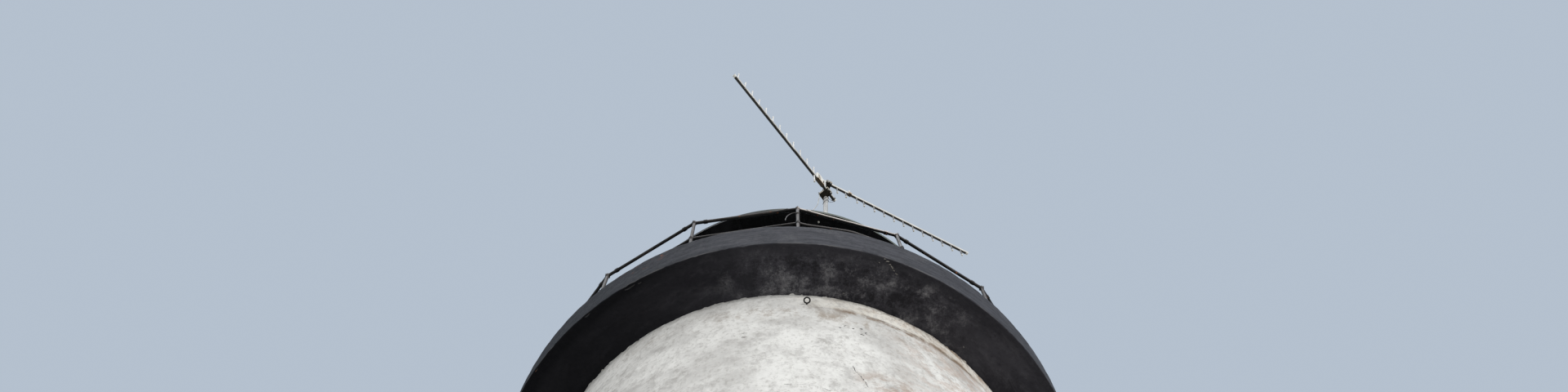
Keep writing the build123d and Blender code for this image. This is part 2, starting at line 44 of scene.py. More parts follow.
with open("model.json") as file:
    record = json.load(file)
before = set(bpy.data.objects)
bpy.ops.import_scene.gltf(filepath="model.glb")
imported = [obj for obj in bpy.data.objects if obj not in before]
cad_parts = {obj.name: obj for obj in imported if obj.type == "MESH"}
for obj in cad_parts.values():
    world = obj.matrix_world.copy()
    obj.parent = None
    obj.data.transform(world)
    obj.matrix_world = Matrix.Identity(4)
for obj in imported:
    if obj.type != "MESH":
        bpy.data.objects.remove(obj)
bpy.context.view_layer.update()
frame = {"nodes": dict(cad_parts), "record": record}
NODES = frame["nodes"]

# Bearings are in degrees from +X towards +Y, so the front of the tower is at 270
FRONT = 270
UP = Vector((0, 0, 1))
DOWN = Vector((0, 0, -1))
RIGHT = Vector((1, 0, 0))

# Places read from the frame, in metres
PLINTH_RADIUS, _, WALL_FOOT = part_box("plinth")[1]
SLAB_LOW, SLAB_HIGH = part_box("gallery_slab")
RIM_LOW, RIM_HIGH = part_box("roof_rim")
WALL_FOOT_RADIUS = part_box("wall_low_back")[1].y
WALL_HEAD = SLAB_LOW.z
SLAB_RADIUS = SLAB_HIGH.x
DECK = SLAB_HIGH.z
RIM_RADIUS = RIM_HIGH.x
RIM_TOP = RIM_HIGH.z

# Heights of the two rails above the deck
LOWER_RAIL, TOP_RAIL = 0.5, 1.025


# Plain geometry


def polar(bearing, radius, level):
    """The point at a bearing, a distance from the tower's axis and a level."""
    turn = radians(bearing)
    return Vector((radius * cos(turn), radius * sin(turn), level))


def directions(bearing):
    """Straight out from the tower's axis at a bearing, and level across it."""
    return polar(bearing, 1, 0), polar(bearing + 90, 1, 0)


def out_from_axis(point):
    """Straight out from the tower's axis to a point, and level across that."""
    outward = Vector((point.x, point.y, 0)).normalized()
    return outward, Vector((-outward.y, outward.x, 0))


def around(count, first=0.0):
    """Bearings evenly spaced round the tower."""
    return [360 * turn / count + first for turn in range(count)]


def wall_radius(level):
    """Outer radius of the tapering wall at a level."""
    share = (level - WALL_FOOT) / (WALL_HEAD - WALL_FOOT)
    head_radius = bpy.context.scene.tower_coat.head_radius
    return WALL_FOOT_RADIUS + (head_radius - WALL_FOOT_RADIUS) * share


def coat_depth(bearing, level):
    """How far the white coat's face stands off the stones behind it."""
    coat = bpy.context.scene.tower_coat
    face = polar(bearing, wall_radius(level), level)
    broad = rough((face.x, face.y, face.z * 1.6), 0.9, 3)
    trowel = rough((face.x, face.y, face.z * 5), 0.42, 4)
    return max(0.001, coat.thickness + coat.lumps * (0.45 * broad + 0.4 * trowel))


def coat_face(bearing, level):
    """A point on the white coat."""
    return polar(bearing, wall_radius(level) + coat_depth(bearing, level), level)


def ease(value, low, high):
    """0 below low, 1 above high, and a smooth rise between them."""
    share = min(1.0, max(0.0, (value - low) / (high - low)))
    return share * share * (3 - 2 * share)


def rough(point, size, octaves=4):
    """Fractal noise from about -1 to 1, whose largest lumps are about as wide as size."""
    return noise.fractal(Vector(point) / size, 1.0, 2.0, octaves)


def add_object(name, data):
    """A new object in the scene."""
    made = bpy.data.objects.new(name, data)
    bpy.context.scene.collection.objects.link(made)
    return made


def finish_piece(name, bm, slot, sharp=None):
    """Turns a bmesh into a piece of the tower that carries its slot's finish."""
    bmesh.ops.recalc_face_normals(bm, faces=bm.faces)
    mesh = bpy.data.meshes.new(name)
    bm.to_mesh(mesh)
    bm.free()
    for polygon in mesh.polygons:
        polygon.use_smooth = True
    if sharp is not None:
        mesh.set_sharp_from_angle(angle=radians(sharp))
    piece = add_object(name, mesh)
    mesh.materials.append(bpy.data.materials[slot])
    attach(piece, "root")
    return piece


def grid_quads(rows, columns, ring=True):
    """Faces of a grid of points laid row by row, with each row closed to a ring."""
    quads = []
    for row in range(rows - 1):
        for column in range(columns if ring else columns - 1):
            beside = (column + 1) % columns
            low = row * columns
            quads.append((low + column, low + beside, low + columns + beside, low + columns + column))
    return quads


def fill_grid(bm, points, columns):
    """Adds rows of points, each closed to a ring, and the faces between them."""
    made = [bm.verts.new(point) for point in points]
    for quad in grid_quads(len(points) // columns, columns):
        bm.faces.new([made[corner] for corner in quad])


def worn_form(stations, columns, worn):
    """A form round the tower's axis: its half section's points, each moved as worn says."""
    points = []
    for radius, level in stations:
        for bearing in around(columns):
            points.append(polar(bearing, *worn(polar(bearing, radius, level), radius, level)))
    bm = bmesh.new()
    fill_grid(bm, points, columns)
    middle = [vert for vert in bm.verts if hypot(vert.co.x, vert.co.y) < 0.01]
    bmesh.ops.remove_doubles(bm, verts=middle, dist=0.02)
    return bm


def fold_in(bm):
    """Folds a coat's open edges in to the stones behind it."""
    rim = [edge for edge in bm.edges if edge.is_boundary]
    for vert in bmesh.ops.extrude_edge_only(bm, edges=rim)["geom"]:
        if isinstance(vert, bmesh.types.BMVert):
            bearing = degrees(atan2(vert.co.y, vert.co.x))
            vert.co = polar(bearing, wall_radius(vert.co.z) - 0.002, vert.co.z)


def join_rings(bm, rings, looped=False):
    """Adds the faces between rings of vertices, closed by caps or from the last ring to the first."""
    for low, high in zip(rings, rings[1:] + rings[:1] if looped else rings[1:]):
        for corner in range(len(low)):
            beside = (corner + 1) % len(low)
            bm.faces.new((low[corner], low[beside], high[beside], high[corner]))
    if not looped:
        bm.faces.new(list(reversed(rings[0])))
        bm.faces.new(rings[-1])


def circle(middle, side, across, radius, count):
    """Points round a circle, from one direction towards another."""
    angles = [2 * pi * step / count for step in range(count)]
    return [middle + (side * cos(angle) + across * sin(angle)) * radius for angle in angles]


def add_tube(bm, path, radius, sides):
    """Adds a round bar along a list of points, kept from twisting along the way."""
    path = [Vector(point) for point in path]
    side = (path[1] - path[0]).normalized().orthogonal().normalized()
    rings = []
    for number, point in enumerate(path):
        along = (path[min(len(path) - 1, number + 1)] - path[max(0, number - 1)]).normalized()
        side = (side - along * side.dot(along)).normalized()
        rings.append([bm.verts.new(spot) for spot in circle(point, side, along.cross(side), radius, sides)])
    join_rings(bm, rings)


def add_turned(bm, origin, axis, profile, sides):
    """Adds a turned form: profile is a list of (distance along the axis, radius), closed at its ends."""
    axis = Vector(axis).normalized()
    side = axis.orthogonal().normalized()
    rings = []
    for along, radius in profile:
        middle = Vector(origin) + axis * along
        rings.append([bm.verts.new(spot) for spot in circle(middle, side, axis.cross(side), radius, sides)])
    join_rings(bm, rings)


def add_strip(bm, path, outs, sections):
    """Adds a closed strip along a path: each section is a ring of (across, out) points at one station."""
    rings = []
    for number, (point, out, section) in enumerate(zip(path, outs, sections)):
        along = (path[min(len(path) - 1, number + 1)] - path[max(0, number - 1)]).normalized()
        across = along.cross(out).normalized()
        rings.append([bm.verts.new(point + across * aside + out * rise) for aside, rise in section])
    join_rings(bm, rings)


def add_flake(bm, hinge, along, away, size, lift, thickness=0.0012):
    """Adds a ragged sheet of loose paint that hangs down from its hinge: size is (length, width)."""
    length, width = size
    columns, rows = 18, 7
    sheets = []
    for side in (0, 1):
        sheet = []
        for row in range(rows):
            for column in range(columns):
                run = column / (columns - 1)
                reach = row / (rows - 1)
                taper = sin(pi * min(1, max(0, 0.06 + 0.88 * run))) ** 0.6
                torn = 1 + 0.35 * rough((hinge.x * 9 + run * 4, hinge.y * 9, reach), 1.0, 3)
                aside = width * reach * taper * torn
                curl = lift * (reach * taper) ** 2 * (0.7 + 0.6 * sin(3 * run + hinge.x * 20))
                hang = DOWN * (curl + thickness * side)
                spot = hinge + along * (length * (run - 0.5)) + away * aside + hang
                sheet.append(bm.verts.new(spot))
        sheets.append(sheet)
    for sheet in sheets:
        for quad in grid_quads(rows, columns, ring=False):
            bm.faces.new([sheet[corner] for corner in quad])
    edge = list(range(columns)) + [row * columns + columns - 1 for row in range(1, rows)]
    edge += [(rows - 1) * columns + column for column in range(columns - 2, -1, -1)]
    edge += [row * columns for row in range(rows - 2, 0, -1)]
    for near, far in zip(edge, edge[1:] + edge[:1]):
        bm.faces.new((sheets[0][near], sheets[0][far], sheets[1][far], sheets[1][near]))


def add_block(bm, centre, sizes, along, bevel):
    """Adds a block with eased edges: its sizes run along a level direction, across it and up."""
    made = bmesh.ops.create_cube(bm, size=1.0)["verts"]
    turn = Matrix((along, UP.cross(along), UP)).transposed().to_4x4()
    placed = Matrix.Translation(Vector(centre)) @ turn @ Matrix.Diagonal((*sizes, 1))
    bmesh.ops.transform(bm, matrix=placed, verts=made)
    edges = list(dict.fromkeys(edge for vert in made for edge in vert.link_edges))
    bmesh.ops.bevel(bm, geom=edges, offset=bevel, segments=2, affect="EDGES", profile=0.7)


# Half sections of rivets, screws, nuts and the like, as (height, radius) points
BRACKET_RIVET = [(0, 0.011), (0.004, 0.0095), (0.0065, 0.005)]
SKIRT_RIVET = [(0, 0.011), (0.005, 0.0095), (0.0085, 0.0045)]
VENT_RIVET = [(0, 0.009), (0.004, 0.008), (0.007, 0.004)]
WALL_RIVET = [(0, 0.011), (0.004, 0.0098), (0.0075, 0.0045)]
CAPPING_SCREW = [(0, 0.0075), (0.002, 0.007), (0.004, 0.0035)]
HINGE_RIVET = [(0, 0.009), (0.004, 0.0078), (0.006, 0.004)]
STRAP_STUD = [(0, 0.011), (0.003, 0.0105), (0.007, 0.006)]
RIM_BOLT = [(0, 0.013), (0.006, 0.0125), (0.011, 0.009), (0.013, 0.004)]
WOOD_KNOT = [(0, 0.009), (0.001, 0.007), (0.0012, 0.003)]
ROSETTE = [(0, 0.036), (0.007, 0.036), (0.009, 0.033)]
KEYHOLE_BOSS = [(0, 0.012), (0.004, 0.011), (0.0045, 0.006)]
FOOT_WASHER = [(0, 0.011), (0.0025, 0.011), (0.0026, 0.0085)]
FOOT_NUT = [(0, 0.0085), (0.0065, 0.0085), (0.008, 0.006)]
FOOT_THREAD = [(0, 0.0042), (0.005, 0.0042)]
POST_COLLAR = [(0, 0.026), (0.004, 0.0265), (0.011, 0.0205), (0.014, 0.0176)]
GRUB_SCREW = [(0, 0.0055), (0.0062, 0.0055), (0.0075, 0.004)]
BALL_NECK = [(0, 0.0178), (0.002, 0.0205), (0.008, 0.0205), (0.01, 0.0178)]
NUT = [(0, 0.0072), (0.0058, 0.0072), (0.007, 0.006)]
BOLT_END = [(0, 0.0038), (0.006, 0.0038), (0.007, 0.003)]

# Half sections of the aerials' caps and open boom ends
BULBOUS_CAP = [(-0.026, 0.0096), (-0.023, 0.0122), (-0.006, 0.013), (-0.0005, 0.011), (0.0015, 0.0065)]
PLAIN_CAP = [(-0.009, 0.0094), (-0.008, 0.0108), (-0.001, 0.0106), (0.001, 0.0082)]
BOOM_END = [(-0.02, 0.0221), (-0.02, 0.0229), (0.008, 0.0231), (0.01, 0.0225), (0.01, 0.0187),
            (0.0005, 0.018)]

# A standing seam's section, as (across, out) points: a folded rib 9 mm thick and 32 mm high on a flat
SEAM = [(-0.022, -0.001), (-0.022, 0.002), (-0.0045, 0.003), (-0.0045, 0.026), (-0.0065, 0.032),
        (0.0065, 0.032), (0.0045, 0.026), (0.0045, 0.003), (0.022, 0.002), (0.022, -0.001)]


# Finishes


def shade(red, green, blue):
    """A colour written as it shows on a screen, 0 to 255, turned to light values."""
    values = []
    for value in (red, green, blue):
        value = value / 255
        values.append(value / 12.92 if value <= 0.04045 else ((value + 0.055) / 1.055) ** 2.4)
    return (*values, 1.0)


def math_method(operation, swapped=False):
    """A method that adds a Math node for an operator, with its two sides swapped in the reflected form."""
    def method(self, other):
        return self.maths(operation, *((other, self) if swapped else (self, other)))
    return method


class Signal:
    """One node's output: sums, products and the like on it add Math nodes to its tree."""

    def __init__(self, nodes, socket):
        self.nodes = nodes
        self.socket = socket

    def maths(self, operation, *values):
        return self.nodes.node("ShaderNodeMath", {"operation": operation}, dict(enumerate(values)))

    __add__ = __radd__ = math_method("ADD")
    __mul__ = __rmul__ = math_method("MULTIPLY")
    __sub__, __rsub__ = math_method("SUBTRACT"), math_method("SUBTRACT", swapped=True)
    __truediv__, __rtruediv__ = math_method("DIVIDE"), math_method("DIVIDE", swapped=True)
    __pow__, __rpow__ = math_method("POWER"), math_method("POWER", swapped=True)
    most = math_method("MAXIMUM")

    def __abs__(self):
        return self.maths("ABSOLUTE", self)

    def rise(self, low, high):
        """0 below low and 1 above high, smooth between them."""
        sockets = {"Value": self, "From Min": low, "From Max": high}
        return self.nodes.node("ShaderNodeMapRange", {"interpolation_type": "SMOOTHSTEP"}, sockets)

    def band(self, middle, half_width):
        """1 at the middle and 0 past half a width on either side."""
        return 1 - abs(self - middle).rise(0.0, half_width)

    def parts(self):
        """The three components of a vector."""
        first = self.nodes.node("ShaderNodeSeparateXYZ", sockets={0: self})
        return [Signal(self.nodes, socket) for socket in first.socket.node.outputs]


class Nodes:
    """The node tree of a material or of the world."""

    def __init__(self, tree):
        self.tree = tree

    def node(self, kind, settings=None, sockets=None, output=0):
        """Adds any node: its settings first, then the values or links of its sockets."""
        made = self.tree.nodes.new(kind)
        for setting, value in (settings or {}).items():
            setattr(made, setting, value)
        for socket, value in (sockets or {}).items():
            if isinstance(value, Signal):
                self.tree.links.new(value.socket, made.inputs[socket])
            else:
                made.inputs[socket].default_value = value
        return Signal(self, made.outputs[output])


class Finish(Nodes):
    """A material in the making, ending in one principled shader."""

    def __init__(self, name, constants=None):
        plain = bpy.data.materials.get(name)
        if plain:
            bpy.data.materials.remove(plain)
        self.material = bpy.data.materials.new(name)
        self.material.use_nodes = True
        super().__init__(self.material.node_tree)
        self.shader = self.tree.nodes["Principled BSDF"]
        for socket, value in (constants or {}).items():
            self.shader.inputs[socket].default_value = value
        self.place = self.node("ShaderNodeTexCoord", output="Object")
        self.x, self.y, self.z = self.place.parts()
        self.face = self.node("ShaderNodeTexCoord", output="Normal").parts()
        self.radius = (self.x * self.x + self.y * self.y) ** 0.5

    def ringed(self, turned, outward, up):
        """The place by bearing, distance from the axis and level, so that marks run round the tower."""
        along = {0: self.x / self.radius * turned, 1: self.y / self.radius * turned}
        return self.node("ShaderNodeCombineXYZ", sockets={**along, 2: self.radius * outward + self.z * up})

    def cloud(self, size, detail, roughness=0.6, distortion=0.0, shift=0.0):
        """Fractal noise spread over 0 to 1: size is a scale, one across and one up, or a place of its own."""
        where, scale = self.place, size
        if isinstance(size, Signal):
            where, scale = size, 1.0
        elif isinstance(size, tuple):
            across, up = size
            stretch = {0: self.place, 1: (across, across, up)}
            where, scale = self.node("ShaderNodeVectorMath", {"operation": "MULTIPLY"}, stretch), 1.0
        if shift:
            moved = {0: where, 1: (shift, shift, shift)}
            where = self.node("ShaderNodeVectorMath", {"operation": "ADD"}, moved)
        sockets = {"Vector": where, "Scale": scale, "Detail": detail}
        sockets.update({"Roughness": roughness, "Distortion": distortion})
        value = self.node("ShaderNodeTexNoise", sockets=sockets)
        return self.node("ShaderNodeMapRange", sockets={"Value": value, "From Min": 0.28, "From Max": 0.72})

    def grains(self, scale):
        """A random value for each grain."""
        sockets = {"Vector": self.place, "Scale": scale}
        return self.node("ShaderNodeTexVoronoi", {"feature": "F1"}, sockets, "Color").parts()[0]

    def facing_key_light(self):
        """Near 1 on faces turned to the key light, to the front and a little up or right, below 0 on those
        turned away: a mask for painted light and shade.
        """
        return self.face[2] * 0.26 + self.face[0] * 0.25 - self.face[1] * 0.93

    def toward(self, turn, inner, outer):
        """1 within inner degrees of a turn to the right of the front, and 0 past outer degrees."""
        bearing = radians(FRONT + turn)
        facing = (self.x * cos(bearing) + self.y * sin(bearing)) / self.radius
        return facing.rise(cos(radians(outer)), cos(radians(inner)))

    def layers(self, ground, *coats):
        """A ground tone with coats laid over it in order, each a share and a tone."""
        under = shade(*ground)
        for share, tone in coats:
            over = tone if isinstance(tone, Signal) else shade(*tone)
            settings = {"data_type": "RGBA", "clamp_factor": True}
            under = self.node("ShaderNodeMix", settings, {0: share, 6: under, 7: over}, output=2)
        return under

    def paint(self, colour, roughness=None, bump=None, bump_depth=0.0, alpha=None):
        """Links what changes over the surface to the shader, and returns the material."""
        normal = None
        if bump is not None:
            sockets = {"Height": bump, "Strength": 1.0, "Distance": bump_depth}
            normal = self.node("ShaderNodeBump", sockets=sockets)
        linked = {"Base Color": colour, "Roughness": roughness, "Alpha": alpha, "Normal": normal}
        for socket, value in linked.items():
            if value is not None:
                self.tree.links.new(value.socket, self.shader.inputs[socket])
        return self.material


def white_wall_finish():
    """Lime-white masonry paint: grey clouds, brushed flecks, short dark marks, brown stains at its head."""
    coat = bpy.context.scene.tower_coat
    white = Finish("white_wall", {"Specular IOR Level": 0.3})
    tone = white.cloud((1.4, 1.1), 8.0, 0.7, 0.2)
    fleck = white.cloud((6.0, 3.6), 8.0, 0.74, shift=13.0)
    brush = white.cloud((26.0, 15.0), 4.0, 0.7)
    dirt = white.cloud((2.6, 2.0), 7.0, 0.72, 0.3, shift=7.0)
    dash = white.cloud((11.0, 12.0), 5.0, 0.62, 0.4, shift=11.0)
    rust = white.cloud((5.5, 5.5), 6.0, 0.7, 0.4, shift=29.0)
    smudge = dirt.rise(0.55, 0.95) * fleck.rise(0.1, 0.75)
    marks = dash.rise(0.8, 1.0) * dirt.rise(0.35, 0.65)
    pink = white.toward(44, 6, 26) * white.z.rise(11.3, 11.9) * rust.rise(0.3, 0.8)
    patch = white.toward(19, 2, 8) * white.z.band(12.1, 0.42) * rust.rise(0.3, 0.75)
    head = white.z.rise(coat.head_band_foot - 0.01, coat.head_band_foot + 0.03)
    cream = head * white.toward(30, 8, 34) * (1 - brush.rise(0.3, 0.8) * 0.6)
    grime_line = (white.z + (tone - 0.5) * 0.16).band(coat.head_band_foot - 0.03, 0.1)
    grime = grime_line * (white.toward(27, 13, 21) * 0.95 + dirt.rise(0.4, 0.8) * 0.3)
    smear = white.toward(10, 8, 34) * white.z.band(13.62, 0.26) * fleck.rise(0.35, 0.8)
    at_head = white.z.rise(WALL_HEAD - 0.34, WALL_HEAD - 0.02)
    ochre = at_head * rust.rise(0.5, 0.85) * (white.toward(42, 6, 34) * 0.7 + 0.2)
    speckle = at_head * brush.rise(0.42, 0.8) * white.toward(42, 8, 36)
    at_foot = 1 - white.z.rise(WALL_FOOT - 0.1, WALL_FOOT + 1.3)
    colour = white.layers(
        (203, 202, 199),
        (tone.rise(0.15, 0.85), coat.white[:]),
        (fleck.rise(0.45, 0.9) * 0.65, (177, 175, 172)),
        (brush.rise(0.45, 0.95) * 0.5, (166, 163, 158)),
        (smudge * 0.5, (150, 146, 141)),
        (marks * 0.55, (118, 113, 107)),
        (pink * 0.6, (182, 158, 142)),
        (patch * 0.7, (160, 136, 118)),
        (cream * 0.5, (238, 231, 216)),
        (grime * fleck.rise(0.1, 0.6), (134, 116, 98)),
        (smear * 0.6, (158, 142, 124)),
        (ochre, (164, 142, 118)),
        (speckle * 0.6, (146, 124, 102)),
        (at_foot * dirt.rise(0.3, 0.75) * 0.55, (132, 130, 112)),
    )
    relief = tone * 0.7 + fleck * 0.3 + brush * 0.25 - marks * 0.4
    white.paint(colour, 0.74 + brush * 0.16, relief, 0.006)


def black_slab_finish():
    """Black masonry paint on the slab: grey scuffs on its underside, brushed grey and salt on its edge, and
    painted shade that darkens its left side and the underside's outer ring.
    """
    black = Finish("black_slab", {"Specular IOR Level": 0.12})
    broad = black.cloud(black.ringed(2.2, 2.0, 2.0), 6.0, 0.66, 0.5)
    brush = black.cloud(black.ringed(9.0, 9.0, 16.0), 6.0, 0.7, 0.2)
    scuff = black.cloud(3.4, 12.0, 0.8, shift=9.0)
    grain = black.cloud(26.0, 4.0, 0.7)
    rust = black.cloud(9.0, 4.0, shift=17.0)
    leftward = 0 - black.x / black.radius
    rubbed_and_lit = black.toward(13, 8, 33) * (1 - black.radius.rise(2.72, 2.9))
    gap = (1 - scuff.rise(0.32, 0.46)) * rubbed_and_lit
    # Painted shade: the underside darker to the left and towards its outer edge.
    painted_soffit_shade = leftward.rise(0.0, 0.7) + black.radius.rise(2.74, 2.9) * 0.4
    upright = 1 - abs(black.face[2]).rise(0.4, 0.75)
    edge = upright * black.z.rise(WALL_HEAD - 0.01, WALL_HEAD + 0.004)
    spots = black.toward(-29, 2, 7) * rust.rise(0.62, 0.8) * black.z.rise(WALL_HEAD + 0.2, DECK - 0.1)
    salt = black.z.band(WALL_HEAD + 0.01, 0.024) * brush.rise(0.3, 0.8)
    edge_wear_and_shade = black.layers(
        (54, 55, 60),
        (brush.rise(0.1, 0.9), (76, 77, 83)),
        (scuff.rise(0.5, 0.9) * 0.35, (112, 112, 114)),
        (grain.rise(0.5, 1.0) * 0.25, (40, 40, 44)),
        # Painted shade: the edge darker to the left.
        (leftward.rise(0.0, 0.65) * 0.85, (28, 31, 37)),
        (spots * 0.8, (124, 66, 34)),
        (salt * 0.45, (128, 127, 124)),
    )
    colour = black.layers(
        (37, 36, 41),
        (broad.rise(0.15, 0.85), (58, 57, 62)),
        (brush.rise(0.45, 0.95) * 0.35, (84, 83, 88)),
        (scuff.rise(0.48, 0.74) * (rubbed_and_lit * 0.6 + 0.04), (118, 117, 120)),
        (scuff.rise(0.7, 0.9) * rubbed_and_lit * 0.6, (162, 160, 160)),
        (grain.rise(0.55, 1.0) * 0.3, (30, 29, 33)),
        (gap * 0.75, (24, 23, 26)),
        (painted_soffit_shade * 0.85, (10, 11, 15)),
        (edge, edge_wear_and_shade),
    )
    relief = broad * 0.5 + brush * 0.2 + scuff * 0.3 + grain * 0.1
    black.paint(colour, 0.66 + grain * 0.2, relief, 0.006)


def iron_paint_finish(name, black_tone, worn_tone, shine, gloss, rust_share, painted_rail_glint=None, lit_rim=False):
    """Black paint on iron, chalked and thin in places, with rust where it has lifted, and painted highlights
    on the side turned to the key light.
    """
    iron = Finish(name, {"Specular IOR Level": shine})
    chalk = iron.cloud(3.2, 6.0, 0.62, 0.3)
    fine = iron.cloud(42.0, 4.0)
    spots = iron.cloud((15.0, 9.0), 4.0, shift=5.0)
    rust = (spots + (fine - 0.5) * 0.2).rise(0.93 - rust_share, 0.99 - rust_share)
    coats = [
        (chalk.rise(0.3, 0.85), worn_tone),
        (fine.rise(0.6, 0.95) * 0.3, [2 * tone for tone in worn_tone]),
        (rust, (104, 58, 34)),
        (rust * fine.rise(0.5, 0.8), (140, 84, 48)),
    ]
    if painted_rail_glint:
        turn, half_bay, level = painted_rail_glint
        # Painted highlight: the rails' side turned to the key light is lighter, and the top rail in one bay
        # carries a painted glint.
        rubbed_and_lit = (iron.facing_key_light() + (chalk - 0.5) * 0.3).rise(0.35, 0.7)
        bare_and_glint = iron.toward(turn, half_bay, half_bay + 1) * iron.z.band(level, 0.12) * rubbed_and_lit
        coats += [(rubbed_and_lit * 0.35, (122, 114, 110)), (bare_and_glint * fine.rise(0.0, 0.3) * 0.9, (222, 214, 208))]
    if lit_rim:
        # Painted highlight on the rim's outer face, on the side the light falls on.
        outer_face = iron.radius.rise(RIM_RADIUS - 0.03, RIM_RADIUS - 0.02) * iron.face[2].rise(-0.6, -0.2)
        lit = outer_face * iron.toward(45, 30, 62) * (0.5 + chalk * 0.5)
        coats += [(lit, (112, 118, 110))]
    relief = fine * 0.3 + chalk * 0.2 + rust * 0.7
    iron.paint(iron.layers(black_tone, *coats), gloss + chalk * 0.2 + rust * 0.3, relief, 0.0012)


def mast_finish():
    """Galvanised steel tube: dull spangle, white bloom and a little rust at its foot."""
    steel = Finish("grey_mast", {"Metallic": 0.25})
    grain = steel.grains(34.0)
    cloud = steel.cloud((6.0, 2.0), 5.0)
    streak = steel.cloud((60.0, 4.0), 3.0)
    foot = (steel.z + streak * 0.05).band(RIM_TOP + 0.05, 0.2)
    eye_iron = 1 - steel.z.rise(WALL_HEAD, DECK)
    colour = steel.layers(
        (176, 176, 174),
        (cloud.rise(0.25, 0.8), (214, 214, 212)),
        (grain * 0.2, (226, 228, 230)),
        (streak.rise(0.6, 0.95) * 0.35, (128, 118, 104)),
        (foot * 0.75, (142, 104, 60)),
        (eye_iron, (30, 29, 28)),
    )
    steel.paint(colour, 0.45 + cloud * 0.2, grain * 0.2 + streak, 0.0004)


def aluminium_finish(name, tone, dull_tone, metallic, painted_shade_from=None):
    """Drawn aluminium left out in salt air: white bloom and pits, with painted shade on faces turned back and
    underneath, kept off the side turned to the key light.
    """
    metal = Finish(name, {"Metallic": metallic, "Specular IOR Level": 0.25})
    bloom = metal.cloud(9.0, 5.0, 0.62, 0.2)
    pits = metal.cloud(140.0, 3.0)
    lit_side_mask = (metal.facing_key_light() + (bloom - 0.5) * 0.2).rise(0.12, 0.42)
    # Painted shade on faces turned down, kept off the side turned to the key light.
    under = (0 - metal.face[2]).rise(-0.05, 0.25) * (1 - lit_side_mask)
    coats = [
        (bloom.rise(0.25, 0.85), tone),
        (pits.rise(0.6, 0.95) * 0.4, (132, 130, 126)),
        # Painted shade on faces turned to the back, then on faces turned down.
        (metal.face[1].rise(0.1, 0.8) * 0.5, (126, 124, 118)),
        (under * 0.95, (20, 19, 16)),
    ]
    # Painted shadow of the boom on the rods that lie past a given distance along X.
    if painted_shade_from:
        coats += [(metal.x.rise(painted_shade_from, painted_shade_from + 0.02) * 0.72, (66, 66, 68))]
    metal.paint(metal.layers(dull_tone, *coats), 0.36 + bloom * 0.25, pits + bloom * 0.4, 0.0004)


def plastic_finish(name, tone, dirt_tone, underside_shade=0.0):
    """Moulded plastic, chalky from the sun, with grime in its pores, and painted shade, as much as asked for,
    on faces turned down.
    """
    plastic = Finish(name, {"Specular IOR Level": 0.4})
    chalk = plastic.cloud(11.0, 5.0, 0.6, 0.2)
    pores = plastic.cloud(220.0, 2.0, 0.5)
    colour = plastic.layers(
        tone,
        (chalk.rise(0.4, 0.95) * 0.7, dirt_tone),
        (pores.rise(0.6, 0.95) * 0.25, dirt_tone),
        # Painted shade on faces turned down.
        ((0 - plastic.face[2]).rise(0.2, 0.6) * underside_shade, (26, 23, 17)),
    )
    plastic.paint(colour, 0.45 + chalk * 0.2, pores + chalk * 0.5, 0.0003)


def stone_finish():
    """Dressed granite steps: speckled crystals, worn pale along the middle of the treads."""
    stone = Finish("step_stone")
    speck = stone.grains(120.0)
    cloud = stone.cloud(2.6, 6.0)
    lichen = stone.cloud(5.0, 5.0, shift=4.0).rise(0.78, 0.92)
    colour = stone.layers(
        (112, 110, 106),
        (speck, (160, 157, 150)),
        (speck.rise(0.8, 0.86) * 0.8, (66, 64, 62)),
        (stone.x.band(0.0, 0.55) * cloud.rise(0.2, 0.7) * 0.45, (186, 182, 172)),
        (lichen * 0.6, (128, 130, 92)),
    )
    stone.paint(colour, 0.78 + cloud * 0.12, speck * 0.2 + cloud, 0.003)


def painted_wood_finish(name, tone, worn_tone, under_tone):
    """Oil paint on boards, run through by the grain, thin and flaking in places."""
    wood = Finish(name)
    grain = wood.cloud((55.0, 3.0), 4.0, 0.6, 0.4)
    cloud = wood.cloud(3.0, 5.0)
    flake = wood.cloud((24.0, 9.0), 4.0, 0.62, shift=6.0)
    bare_and_glint = (flake + (cloud - 0.5) * 0.3).rise(0.93, 0.98)
    coats = [(cloud.rise(0.25, 0.9), worn_tone), (grain.rise(0.5, 0.95) * 0.3, worn_tone), (bare_and_glint, under_tone)]
    wood.paint(wood.layers(tone, *coats), 0.42 + cloud * 0.2 + bare_and_glint * 0.3, grain - bare_and_glint, 0.001)


def iron_finish():
    """Bare old iron under the last of its black paint."""
    iron = Finish("dark_iron", {"Metallic": 0.3})
    cloud = iron.cloud(30.0, 5.0, 0.65)
    pits = iron.cloud(160.0, 3.0)
    coats = [(cloud.rise(0.4, 0.9), (70, 52, 42)), (pits.rise(0.7, 1.0) * 0.3, (120, 112, 104))]
    iron.paint(iron.layers((26, 25, 25), *coats), 0.55 + cloud * 0.25, pits + cloud, 0.0012)


def glass_finish():
    """Clear window glass with salt haze, thicker in patches."""
    glass = Finish("clear_glass", {"IOR": 1.5, "Specular IOR Level": 0.6})
    haze = glass.cloud(4.0, 5.0)
    spots = glass.cloud(60.0, 3.0)
    dirt = spots.rise(0.6, 0.95) * 0.22 + haze.rise(0.4, 0.95) * 0.16
    colour = glass.layers((150, 168, 176), (dirt, (214, 214, 206)))
    glass.paint(colour, 0.05 + dirt * 0.8, alpha=0.3 + dirt)


